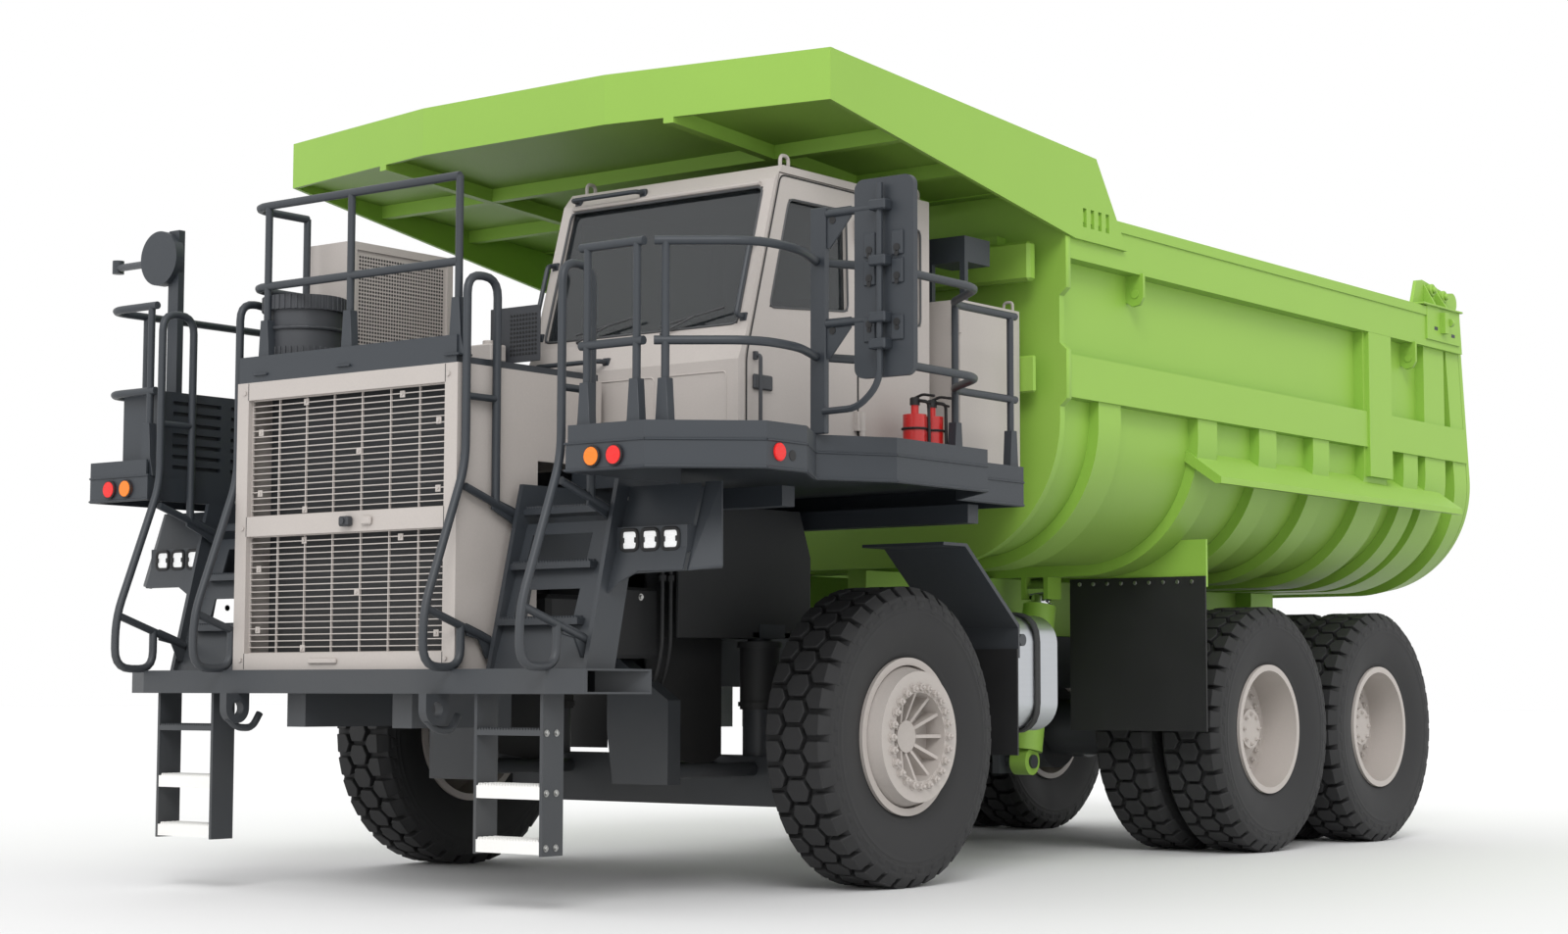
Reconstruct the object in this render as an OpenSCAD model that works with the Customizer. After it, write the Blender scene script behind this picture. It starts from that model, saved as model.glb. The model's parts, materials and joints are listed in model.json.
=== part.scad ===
// Wide-body mining dump truck on three axles, parked with its dump body down.
// Millimetres, +Z up, front towards -Y, the truck's left side at +X.
// Lengths along the truck are given from the front axle, rearwards positive.

/* [Wheels] */
// Outer diameter of a tyre, to the tips of its lugs
tyre_d = 1875; // [1700:5:2000]
// Width of a tyre at its widest
tyre_w = 500; // [440:5:520]
// Diameter of the rim where the tyre sits
rim_d = 940; // [840:5:1000]
// Distance of a front tyre's middle plane from the truck's middle
front_wheel_x = 1880; // [1840:5:1950]
// Distance of an outer rear tyre's middle plane from the truck's middle
rear_wheel_x = 1880; // [1860:5:1950]
// Distance between the middle planes of twin tyres
dual_pitch = 580; // [560:5:620]
// Front axle to first rear axle
wheel_base = 4845; // [4800:5:5100]
// First to second rear axle
tandem_pitch = 1950; // [1950:5:2100]

/* [Chassis] */
// Middle of a frame rail from the truck's middle
rail_x = 450; // [430:5:480]
// Width of a frame rail
rail_w = 160; // [120:5:180]
// Height of a frame rail
rail_h = 400; // [300:5:400]
// Height of the frame rails' underside above the ground
rail_z = 1250; // [1240:5:1260]
// Half the length of the front bumper beam
bumper_half = 1920; // [1860:2:1960]
// Height of the front bumper beam
bumper_h = 140; // [110:2:170]
// Underside of the bumper beam above the ground
bumper_z = 1200; // [1180:2:1220]
// Bore of a tow eye
tow_bore_d = 90; // [60:1:110]
// Kingpin distance from the truck's middle
kingpin_x = 1400; // [1380:2:1420]
// Diameter of a kingpin
kingpin_d = 120; // [90:1:140]
// Diameter of the wheel spindles on the knuckles
spindle_d = 200; // [160:1:240]
// Diameter of the rear axle ends that carry the hubs
stub_d = 280; // [220:1:320]
// Diameter of a rear axle housing
axle_tube_d = 440; // [380:5:500]

/* [Front end] */
// Half the width of the radiator housing
housing_half = 941; // [900:1:980]
// Front face of the radiator housing ahead of the front axle
front_y = 2857; // [2800:1:2900]
// Top of the radiator housing above the ground
housing_top = 3093; // [3000:1:3150]
// Height of the deck floor above the ground
deck_z = 2570; // [2540:1:2600]
// Depth of the deck's edge frame
deck_depth = 155; // [120:1:180]
// Outer edge of the deck from the truck's middle
deck_edge = 2350; // [2300:1:2380]
// Outer edge of the bays in the left deck
bay_edge = 2850; // [2800:1:2900]
// Height of the handrails above the deck floor
rail_rise = 1095; // [1000:5:1150]
// Outer diameter of the handrail tubes
tube_d = 50; // [40:1:56]

/* [Cab] */
// Inner side of the cab from the truck's middle
cab_in = 240; // [220:1:300]
// Outer side of the cab from the truck's middle
cab_out = 1950; // [1900:1:1980]
// Height of the cab above the deck floor
cab_h = 1820; // [1780:5:1850]
// Length of the cab at its floor
cab_len = 1985; // [1950:5:2000]
// Thickness of the cab's walls and door
cab_wall = 60; // [40:1:70]
// Thickness of the glass
glass_t = 8; // [6:0.5:12]

/* [Dump body] */
// Half the width of the trough, outside of its plates
trough_half = 2200; // [2180:1:2220]
// Underside of the trough's plates above the ground
trough_z = 2160; // [2150:1:2180]
// Top of the trough's sides above the ground
trough_top = 4420; // [4380:5:4500]
// Outer radius of the trough's lower corners
trough_r = 900; // [700:5:1000]
// Thickness of the trough's plates
plate_t = 40; // [30:1:50]
// Front of the trough behind the front axle
body_front = 1560; // [1540:5:1600]
// Rear of the trough at the top of its sides
body_rear = 8020; // [7980:5:8100]
// Lean of the trough's rear end
tail_lean = 7.2; // [4:0.1:9]
// How far the ribs stand out from the plates
rib_t = 80; // [60:1:90]
// Body pivot behind the front axle
pivot_y = 7450; // [7400:5:7500]
// Body pivot above the ground
pivot_z = 1770; // [1760:1:1780]
// Diameter of the body pivot pins
pivot_d = 120; // [90:1:140]
// Height of the canopy's front fascia
fascia_h = 315; // [250:5:350]
// Top of the canopy's fascia above the cab's roof
canopy_rise = 655; // [650:5:700]

/* [Hoist] */
// Distance of a hoist cylinder from the truck's middle
hoist_x = 870; // [850:1:880]
// Outer diameter of the hoist barrel
barrel_d = 250; // [240:2:256]
// Lower pin of the hoist behind the front axle
hoist_low_y = 3250; // [3230:2:3270]
// Lower pin of the hoist above the ground
hoist_low_z = 700; // [690:2:720]
// Upper pin of the hoist behind the front axle
hoist_top_y = 3500; // [3490:2:3510]
// Upper pin of the hoist above the ground
hoist_top_z = 1990; // [1980:2:2000]

/* [Hidden] */
$fn = 48;

slate = "#454a50";
beige = "#c9c3bd";
lime = "#93c756";
black = "#2b2c2e";

// Overrun of all cuts, running clearance of pins, seat gap of round faces
over = 10;
run_gap = 0.05;
seat_gap = 0.3;
// Gap round pieces that move past others
move_gap = 8;

module datum() translate([0, front_axle_y, 0]) children();
module slab(lo, hi) translate(lo) cube(hi - lo);
module both_sides() {
    children();
    mirror([1, 0, 0]) children();
}
module rod(a, b, r) {
    v = b - a;
    translate(a) rotate([0, acos(v[2] / norm(v)), atan2(v[1], v[0])]) cylinder(r = r, h = norm(v));
}
tube_r = tube_d / 2;
post_share = 0.88;
corner_share = 0.5;
// A run of tubes through a list of points, thick and thin by turns so that corners close
module tube_run(points, r) {
    for (i = [1:len(points) - 1]) {
        reach = corner_share * r * (points[i] - points[i - 1]) / norm(points[i] - points[i - 1]);
        rod(
            points[i - 1] - (i == 1 ? 0 : 1) * reach, points[i] + (i == len(points) - 1 ? 0 : 1) * reach,
            r * (i % 2 == 0 ? 1 : post_share)
        );
    }
}
// A plate with an outline in the Y-Z plane, between two X positions
module side_plate(x0, x1, outline) {
    translate([x0, 0, 0]) rotate([90, 0, 90]) linear_extrude(x1 - x0) polygon(outline);
}
// A shape drawn in X-Z, between two Y positions
module cross_plate(y0, y1) {
    translate([0, y1, 0]) rotate([90, 0, 0]) linear_extrude(y1 - y0) children();
}
module plan_plate(z0, z1, outline) translate([0, 0, z0]) linear_extrude(z1 - z0) polygon(outline);
module x_cyl(x0, x1, y, z, r) translate([x0, y, z]) rotate([0, 90, 0]) cylinder(r = r, h = x1 - x0);
module y_cyl(y0, y1, x, z, r) translate([x, y1, z]) rotate([90, 0, 0]) cylinder(r = r, h = y1 - y0);
function scaled(shares, w, h) = [for (p = shares) [p[0] * w, p[1] * h]];

// Rims, tyres and hubs
hub_z = tyre_d / 2;
rear_axle_ys = [wheel_base, wheel_base + tandem_pitch];
rim_r = rim_d / 2;
tyre_r = tyre_d / 2;
flange_h = 22;
rim_half = 203;
rim_t = 24;
shoulder_drop = 60;
crown_half = 195;
bead_half = 168;
lugs = 36;
groove_w = 28;
groove_deep = 50;
rib_half = 85;
groove_turn_share = 0.5;
sidewall_steps = 8;
bulge_deg = 118;
disc_t = 40;
hub_r = 250;
front_hub_in = 200;
front_face_x = 287;
front_face_t = 40;
front_face_r = 407;
front_foot_x = 100;
front_open_r = 275;
front_open_wall = 10;
front_open_floor = 150;
nose_r = 150;
cap_r = 100;
cap_out = 187;
nose_ribs = 12;
nose_rib_t = 22;
nose_rib_drop = 25;
spindle_reach = 60;
spindle_end = front_wheel_x + spindle_reach;
end_gap = 2;
rear_disc_x = -110;
rear_hub_in = 150;
rear_hub_out = -40;
rear_nose_out = 40;
stub_short = 200;
stub_end = rear_wheel_x - stub_short;

// One side of the tyre's section, from bead to shoulder
function sidewall(side) = [
    for (i = [0:sidewall_steps])
        let (t = i / sidewall_steps)
            [
                rim_r + seat_gap + t * (tyre_r - shoulder_drop - rim_r),
                side * (bead_half + (tyre_w / 2 - bead_half) * sin(bulge_deg * t))
            ]
];
function reversed(list) = [for (i = [len(list) - 1:-1:0]) list[i]];

// The grooves between the shoulder lugs run out to the side and leave a rib round the middle
module tyre() difference() {
    crown = [[tyre_r, -crown_half], [tyre_r, crown_half]];
    rotate([0, 90, 0]) rotate_extrude() polygon(concat(sidewall(-1), crown, reversed(sidewall(1))));
    for (i = [1:lugs])
        rotate([360 * (i - groove_turn_share) / lugs, 0, 0]) both_sides()
            slab(
                [rib_half, -groove_w / 2, tyre_r - groove_deep],
                [tyre_w / 2 + over, groove_w / 2, tyre_r + over]
            );
}
module rim_barrel() {
    translate([rim_r - rim_t, -rim_half]) square([rim_t, 2 * rim_half]);
    for (side = [-1, 1])
        translate([rim_r - rim_t, side * (rim_half - rim_t / 2) - rim_t / 2])
            square([rim_t + flange_h, rim_t]);
}
module rim_ring(disc_x) {
    rotate([0, 90, 0]) rotate_extrude() {
        rim_barrel();
        translate([hub_r - disc_t, disc_x - disc_t / 2]) square([rim_r - hub_r + disc_t / 2, disc_t]);
    }
}
module front_rim() {
    wall_x = rim_r - rim_t / 2;
    difference() {
        union() {
            rotate([0, 90, 0]) rotate_extrude() {
                rim_barrel();
                polygon([
                    [front_open_r - front_open_wall, front_face_x], [front_face_r, front_face_x],
                    [wall_x, front_foot_x], [wall_x, front_foot_x - front_face_t],
                    [front_face_r - front_face_t, front_face_x - front_face_t],
                    [front_open_r - front_open_wall, front_face_x - front_face_t]
                ]);
            }
            x_cyl(-front_hub_in, front_face_x - front_face_t / 2, 0, 0, front_open_r + front_open_wall);
        }
        x_cyl(front_open_floor, front_face_x + over, 0, 0, front_open_r);
        x_cyl(-front_hub_in - over, spindle_reach + end_gap, 0, 0, spindle_d / 2 + run_gap);
    }
    x_cyl(front_open_floor - over, cap_out, 0, 0, cap_r);
    for (i = [0:nose_ribs - 1])
        rotate([360 * i / nose_ribs, 0, 0]) translate([0, 0, -nose_rib_t / 2])
            linear_extrude(nose_rib_t) polygon([
                [front_open_floor - over, cap_r - over], [cap_out - over, cap_r - over],
                [front_face_x - nose_rib_drop, front_open_r + front_open_wall / 2],
                [front_open_floor - over, front_open_r + front_open_wall / 2]
            ]);
}
module rear_rims() {
    difference() {
        union() {
            rim_ring(rear_disc_x);
            translate([-dual_pitch, 0, 0]) rim_ring(-rear_disc_x);
            x_cyl(-dual_pitch - rear_hub_in, rear_hub_out, 0, 0, hub_r);
            x_cyl(rear_hub_out - over, rear_nose_out, 0, 0, nose_r);
        }
        x_cyl(-dual_pitch - rear_hub_in - over, end_gap - stub_short, 0, 0, stub_d / 2 + run_gap);
    }
}
module twin_tyres() {
    tyre();
    translate([-dual_pitch, 0, 0]) tyre();
}
// side is 1 on the truck's left, -1 on its right
module at_wheel(side, y, x) {
    datum() mirror([side < 0 ? 1 : 0, 0, 0]) translate([x, y, hub_z]) children();
}
module tyre_front_left() color(black) at_wheel(1, 0, front_wheel_x) tyre();
module rim_front_left() color(beige) at_wheel(1, 0, front_wheel_x) front_rim();
module tyre_front_right() color(black) at_wheel(-1, 0, front_wheel_x) tyre();
module rim_front_right() color(beige) at_wheel(-1, 0, front_wheel_x) front_rim();
module tyres_mid_left() color(black) at_wheel(1, rear_axle_ys[0], rear_wheel_x) twin_tyres();
module rims_mid_left() color(beige) at_wheel(1, rear_axle_ys[0], rear_wheel_x) rear_rims();
module tyres_mid_right() color(black) at_wheel(-1, rear_axle_ys[0], rear_wheel_x) twin_tyres();
module rims_mid_right() color(beige) at_wheel(-1, rear_axle_ys[0], rear_wheel_x) rear_rims();
module tyres_rear_left() color(black) at_wheel(1, rear_axle_ys[1], rear_wheel_x) twin_tyres();
module rims_rear_left() color(beige) at_wheel(1, rear_axle_ys[1], rear_wheel_x) rear_rims();
module tyres_rear_right() color(black) at_wheel(-1, rear_axle_ys[1], rear_wheel_x) twin_tyres();
module rims_rear_right() color(beige) at_wheel(-1, rear_axle_ys[1], rear_wheel_x) rear_rims();

// Front axle, knuckles and tie rod
axle_half = 1150;
axle_low = 480;
axle_top = 800;
axle_d = 300;
boss_r = 120;
boss_half = 177;
link_in = 1015;
link_d = 220;
link_low = 775;
link_top = 1100;
ear_t = 83;
ear_r = 125;
ear_gap = 2;
web_gap = 15;
web_in = kingpin_x + boss_r + web_gap;
web_t = 60;
web_half = 110;
flange_r = 180;
arm_w = 80;
arm_x0 = kingpin_x - arm_w / 2;
arm_x1 = kingpin_x + arm_w / 2;
arm_pin_x = kingpin_x;
arm_pin_y = 370;
arm_end_y = 410;
arm_t = 60;
tie_pin_r = 25;
tie_eye_r = 48;
tie_eye_h = 60;
tie_r = 28;
ear_out = boss_half + ear_gap + ear_t;
arm_low = hub_z - ear_out + ear_gap;

module front_axle() color(slate) datum() {
    slab([-axle_half, -axle_d / 2, axle_low], [axle_half, axle_d / 2, axle_top]);
    both_sides() {
        slab([link_in, -link_d / 2, link_low], [kingpin_x, link_d / 2, link_top]);
        translate([kingpin_x, 0, hub_z - boss_half]) cylinder(r = boss_r, h = 2 * boss_half);
        translate([kingpin_x, 0, hub_z - ear_out]) cylinder(d = kingpin_d, h = 2 * ear_out);
    }
}
module knuckle() {
    difference() {
        union() {
            for (side = [-1, 1])
                translate([0, 0, hub_z + side * (boss_half + ear_gap + ear_t / 2) - ear_t / 2]) {
                    translate([kingpin_x, 0, 0]) cylinder(r = ear_r, h = ear_t);
                    slab([kingpin_x, -web_half, 0], [web_in + web_t, web_half, ear_t]);
                }
            slab([web_in, -web_half, hub_z - ear_out], [web_in + web_t, web_half, hub_z + ear_out]);
            x_cyl(web_in, web_in + web_t, 0, hub_z, flange_r);
            x_cyl(web_in, spindle_end, 0, hub_z, spindle_d / 2);
            slab([arm_x0, 0, arm_low], [arm_x1, arm_end_y, arm_low + arm_t]);
        }
        translate([kingpin_x, 0, hub_z - ear_out - over])
            cylinder(d = kingpin_d + 2 * run_gap, h = 2 * (ear_out + over));
    }
    translate([arm_pin_x, arm_pin_y, arm_low - tie_eye_h - ear_gap])
        cylinder(r = tie_pin_r, h = tie_eye_h + arm_t);
}
module knuckle_left() color(slate) datum() knuckle();
module knuckle_right() color(slate) datum() mirror([1, 0, 0]) knuckle();
module tie_rod() color(slate) datum() difference() {
    union() {
        both_sides()
            translate([arm_pin_x, arm_pin_y, arm_low - tie_eye_h - ear_gap])
                cylinder(r = tie_eye_r, h = tie_eye_h);
        x_cyl(-arm_pin_x, arm_pin_x, arm_pin_y, arm_low - ear_gap - tie_eye_h / 2, tie_r);
    }
    both_sides()
        translate([arm_pin_x, arm_pin_y, axle_low]) cylinder(r = tie_pin_r + run_gap, h = axle_top);
}

// Struts and thrust rods of the front axle
strut_x = 900;
strut_r = 110;
strut_rod_r = 78;
strut_mid_z = 1330;
tower_z = 1560;
hanger_y0 = -1080;
hanger_y1 = -960;
thrust_z = 720;
thrust_xs = [620, 960];
thrust_r = 45;
module front_suspension() {
    translate([strut_x, 0, axle_top]) cylinder(r = strut_r, h = strut_mid_z - axle_top);
    translate([strut_x, 0, axle_top]) cylinder(r = strut_rod_r, h = tower_z - axle_top);
    for (x = thrust_xs) y_cyl(hanger_y1, -axle_d / 2, x, thrust_z, thrust_r);
}

// Rear axles and their equaliser beams
housing_end = 1000;
flange_end = 1100;
brake_r = 200;
banjo_half = 180;
banjo_r = 330;
beam_x0 = 700;
beam_x1 = 860;
beam_ring = 75;
beam_h = 200;
trunnion_r = 110;
trunnion_z = 1000;
trunnion_low = 820;
trunnion_half = 130;
rail_out = rail_x + rail_w / 2;
rail_in = rail_x - rail_w / 2;
rail_top = rail_z + rail_h;
tandem_mid = wheel_base + tandem_pitch / 2;
module rear_axles() color(slate) datum() for (y = rear_axle_ys) {
    x_cyl(-housing_end, housing_end, y, hub_z, axle_tube_d / 2);
    x_cyl(-flange_end, flange_end, y, hub_z, brake_r);
    x_cyl(-banjo_half, banjo_half, y, hub_z, banjo_r);
    x_cyl(-stub_end, stub_end, y, hub_z, stub_d / 2);
}
module rear_suspension() {
    difference() {
        union() {
            for (y = rear_axle_ys) x_cyl(beam_x0, beam_x1, y, hub_z, axle_tube_d / 2 + beam_ring);
            slab(
                [beam_x0, rear_axle_ys[0], hub_z - beam_h / 2],
                [beam_x1, rear_axle_ys[1], hub_z + beam_h / 2]
            );
            x_cyl(rail_out, beam_x1, tandem_mid, trunnion_z, trunnion_r);
            slab(
                [rail_out, tandem_mid - trunnion_half, trunnion_low],
                [beam_x0 - over, tandem_mid + trunnion_half, rail_z + rail_h / 2]
            );
        }
        for (y = rear_axle_ys)
            x_cyl(beam_x0 - over, beam_x1 + over, y, hub_z, axle_tube_d / 2 + seat_gap);
    }
}
module suspension() color(slate) datum() both_sides() {
    front_suspension();
    rear_suspension();
}

// Ladder frame
rail_front = -2150;
rail_rear = 7650;
horn_front = -2780;
horn_z = 1000;
horn_h = 200;
cross_ys = [-1800, -500, 700, 2500, 4000, 5750, 7350];
cross_d = 140;
cross_h = 50;
deck_beam_ys = [-1450, 500];
deck_beam_d = 120;
deck_beam_h = 120;
deck_beam_half = 2200;
deck_low = deck_z - deck_depth;
post_out = 700;
hanger_x = 1030;
hanger_low = 640;
hanger_top = 1480;
hanger_shares = [[0, 1], [1, 0.62], [1, 0], [0.1, 0], [0, 0.4]];
tower_out = 1010;
tower_half = 130;
bracket_r = 110;
bracket_half = 120;
pin_reach = 180;
hoist_plate_x = 670;
hoist_plate_t = 60;
hoist_plate_half = 130;
hoist_pin_r = 50;
hoist_pin_past = 90;
hoist_pin_end = hoist_x + hoist_pin_past;
hoist_plate_low = hoist_low_z - hoist_pin_past;
tank_in = 1100;
tank_bracket_shares = [0.13, 0.6];
tank_bracket_d = 100;
fender_tube_r = 40;
fender_tube_z = 1560;
tow_plate_t = 40;
tow_plate_half = 110;
tow_plate_len = 170;
rear_tow_r = 40;
module frame_rails() {
    slab([rail_in, rail_front, rail_z], [rail_out, rail_rear, rail_top]);
    slab([rail_in, horn_front, horn_z], [rail_out, rail_front, bumper_z]);
    slab([rail_in, rail_front, horn_z], [rail_out, rail_front + horn_h, rail_z]);
    // Hanger bracket of the thrust rods and tower of the strut
    translate([rail_out, 0, hanger_low]) cross_plate(hanger_y0, hanger_y1)
        polygon(scaled(hanger_shares, hanger_x - rail_out, hanger_top - hanger_low));
    slab([rail_out, -tower_half, tower_z], [tower_out, tower_half, rail_top]);
    // Posts under the deck beams
    for (y = deck_beam_ys)
        slab([rail_out - rail_w, y, rail_top], [post_out, y + deck_beam_d, deck_low - deck_beam_h]);
    // Body pivot bracket with its pin
    slab([rail_in, pivot_y - bracket_half, rail_top], [rail_out, pivot_y + bracket_half, pivot_z]);
    x_cyl(rail_in, rail_out, pivot_y, pivot_z, bracket_r);
    x_cyl(rail_in, rail_out + pin_reach, pivot_y, pivot_z, pivot_d / 2);
    // Plate that carries the lower pin of the hoist
    slab(
        [rail_out, hoist_low_y - hoist_plate_half, rail_z],
        [hoist_plate_x + hoist_plate_t, hoist_low_y + hoist_plate_half, rail_z + rail_h / 2]
    );
    slab(
        [hoist_plate_x, hoist_low_y - hoist_plate_half, hoist_plate_low],
        [hoist_plate_x + hoist_plate_t, hoist_low_y + hoist_plate_half, rail_z + rail_h / 2]
    );
    x_cyl(hoist_plate_x, hoist_pin_end, hoist_low_y, hoist_low_z, hoist_pin_r);
    // Tank brackets and the tube that holds the front fender
    for (s = tank_bracket_shares)
        translate([0, tank_y0 + s * (tank_y1 - tank_y0), rail_z])
            slab([rail_out, 0, 0], [tank_in, tank_bracket_d, rail_h / 2]);
    x_cyl(rail_out - rail_w / 2, fender_x1, fender_tube_y, fender_tube_z, fender_tube_r);
}
module chassis_frame() color(slate) datum() {
    difference() {
        union() {
            both_sides() frame_rails();
            for (y = cross_ys)
                slab([-rail_in, y, rail_z], [rail_in, y + cross_d, rail_z + cross_h]);
            for (y = deck_beam_ys)
                slab(
                    [-deck_beam_half, y, deck_low - deck_beam_h],
                    [deck_beam_half, y + deck_beam_d, deck_low]
                );
            slab(
                [-rail_in, rail_rear - tow_plate_len, rail_z],
                [rail_in, rail_rear, rail_top]
            );
            slab(
                [-tow_plate_half, rail_rear, rail_z],
                [tow_plate_half, rail_rear + tow_plate_len, rail_z + tow_plate_t]
            );
        }
        translate([0, rail_rear + tow_plate_len / 2, rail_z - over])
            cylinder(r = rear_tow_r, h = tow_plate_t + 2 * over);
    }
}

// Front bumper with tow eyes
bumper_top = bumper_z + bumper_h;
bumper_mid_y = -2920;
bumper_end_y = -2833;
bumper_d = 420;
bumper_end_d = 551;
bumper_mid_half = 1700;
bumper_wall = 12;
bumper_open = 500;
tow_eye_x = 845;
tow_eye_t = 60;
tow_eye_r = 90;
tow_eye_z = 1110;
tow_eye_y = -2920;
module bumper_plan(inset) {
    polygon([
        [-bumper_half, bumper_end_y + inset], [-bumper_mid_half, bumper_mid_y + inset],
        [bumper_mid_half, bumper_mid_y + inset], [bumper_half, bumper_end_y + inset],
        [bumper_half, bumper_end_y + bumper_end_d - inset],
        [bumper_mid_half, bumper_mid_y + bumper_d - inset],
        [-bumper_mid_half, bumper_mid_y + bumper_d - inset],
        [-bumper_half, bumper_end_y + bumper_end_d - inset]
    ]);
}
module front_bumper() color(slate) datum() {
    difference() {
        translate([0, 0, bumper_z]) linear_extrude(bumper_h) bumper_plan(0);
        both_sides() intersection() {
            translate([0, 0, bumper_z + bumper_wall])
                linear_extrude(bumper_h - 2 * bumper_wall) bumper_plan(bumper_wall);
            slab(
                [bumper_half - bumper_open, bumper_mid_y, bumper_z],
                [bumper_half + over, bumper_end_y + bumper_end_d, bumper_top]
            );
        }
    }
    both_sides() difference() {
        union() {
            x_cyl(tow_eye_x - tow_eye_t / 2, tow_eye_x + tow_eye_t / 2, tow_eye_y, tow_eye_z, tow_eye_r);
            slab(
                [tow_eye_x - tow_eye_t / 2, tow_eye_y - tow_eye_r, tow_eye_z],
                [tow_eye_x + tow_eye_t / 2, tow_eye_y + tow_eye_r, bumper_z]
            );
        }
        x_cyl(
            tow_eye_x - tow_eye_t / 2 - over, tow_eye_x + tow_eye_t / 2 + over,
            tow_eye_y, tow_eye_z, tow_bore_d / 2
        );
    }
}

// Stairs, ladders and headlamp boxes
ladder_x0 = 1107;
ladder_x1 = 1630;
ladder_bar = 22;
ladder_y0 = -2860;
ladder_y1 = -2690;
ladder_low = 310;
top_step_z = 1000;
top_step_t = 30;
tread_tops = [690, 390];
tread_t = 70;
tread_y0 = -2860;
tread_y1 = -2700;
stringer_in = 1000;
stringer_out = 1735;
stringer_t = 30;
stair_foot_y = -2660;
stair_run = 1200;
stair_first_z = 285;
stair_first_in = 56;
stair_first_y = stair_foot_y + stair_first_in;
stair_pitch = 322;
stair_step = 105;
stair_lean = atan(stair_step / stair_pitch);
stair_back_in = 80;
stair_back_y = stair_first_y + stair_back_in - stair_first_z * tan(stair_lean);
stair_back_t = 12;
stair_back_top = 2180;
stair_toe_h = 170;
stair_toe_side = 90;
stair_treads = 3;
stair_tread_d = 240;
stair_tread_t = 35;
stringer_shares = [[0, 0], [0.2, 0], [0.3, 0.5], [1, 0.56], [1, 1], [0.22, 1]];
lamp_x1 = 2280;
lamp_y = -2410;
lamp_d = 90;
lamp_plate_low = 1880;
lamp_bend = 110;
lamp_bend_z = 1760;
wing_low = [2446, -2326, 1902];
wing_top = [2366, -2230, 2370];
lamp_z0 = 1985;
lamp_z1 = 2135;
lamp_count = 3;
lamp_side = 105;
lamp_deep = 40;
lamp_pitch = 150;
lamp_first_x = 1810;
module stair() {
    for (x = [ladder_x0, ladder_x1 - ladder_bar])
        slab([x, ladder_y0, ladder_low], [x + ladder_bar, ladder_y1, bumper_z]);
    slab([ladder_x0, tread_y0, top_step_z - top_step_t], [ladder_x1, tread_y1, top_step_z]);
    for (x = [stringer_in, stringer_out])
        translate([0, stair_foot_y, bumper_top])
            side_plate(x, x + stringer_t, scaled(stringer_shares, stair_run, deck_low - bumper_top));
    for (i = [0:stair_treads - 1])
        at_stair_tread(i) slab(
            [stringer_in + stringer_t / 2, 0, -stair_tread_t],
            [stringer_out - stair_toe_side, stair_tread_d, 0]
        );
    difference() {
        slab([stringer_out, lamp_y, lamp_z0], [lamp_x1, lamp_y + lamp_d, lamp_z1]);
        lamp_row(over);
    }
    difference() {
        translate([0, stair_back_y, bumper_top])
            rotate([90 - stair_lean, 0, 0]) linear_extrude(stair_back_t) stair_back();
        for (i = [0:stair_treads - 1])
            at_stair_tread(i) slab(
                [stringer_in + stair_toe_side, 0, 0],
                [stringer_out - 2 * stair_toe_side, stair_tread_d, stair_toe_h]
            );
        slab(
            [stringer_out + stringer_t, lamp_y, lamp_z0 + over],
            [lamp_x1 - over, lamp_y + lamp_d, lamp_z1 - over]
        );
    }
    wing_in_y = lamp_y + (wing_top[2] - lamp_plate_low) * tan(stair_lean);
    wing_in = [[lamp_x1, lamp_y, lamp_plate_low], [lamp_x1, wing_in_y, wing_top[2]]];
    hull() for (p = concat(wing_in, [wing_low, wing_top])) translate(p) cube(stair_back_t);
}
module at_stair_tread(i) {
    translate([0, stair_first_y + i * stair_step, bumper_top + stair_first_z + i * stair_pitch])
        children();
}
// Outline of the back plate, with its height along the lean
module stair_back() {
    up = 1 / cos(stair_lean);
    polygon([
        [stringer_in + stringer_t / 2, 0], [stringer_out + stringer_t / 2, 0],
        [stringer_out + stringer_t, (lamp_bend_z - bumper_top) * up],
        [stringer_out + lamp_bend, (lamp_plate_low - bumper_top) * up - lamp_bend / 2],
        [stringer_out + 2 * lamp_bend, (lamp_plate_low - bumper_top) * up],
        [lamp_x1, (lamp_plate_low - bumper_top) * up], [lamp_x1, (wing_top[2] - bumper_top) * up],
        [stringer_out + stringer_t, (wing_top[2] - bumper_top) * up],
        [stringer_out + stringer_t, (stair_back_top - bumper_top) * up],
        [stringer_in + stringer_t / 2, (stair_back_top - bumper_top) * up]
    ]);
}
module lamp_row(proud) {
    for (i = [0:lamp_count - 1])
        translate([lamp_first_x + i * lamp_pitch, lamp_y - proud, (lamp_z0 + lamp_z1 - lamp_side) / 2])
            cube([lamp_side, lamp_deep + proud, lamp_side]);
}
module stairs() color(slate) datum() both_sides() stair();
module headlamps() color("white") datum() both_sides() lamp_row(0);
module ladder_treads() color("white") datum() both_sides() for (z = tread_tops)
    slab([ladder_x0 + ladder_bar, tread_y0, z - tread_t], [ladder_x1 - ladder_bar, tread_y1, z]);

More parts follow.
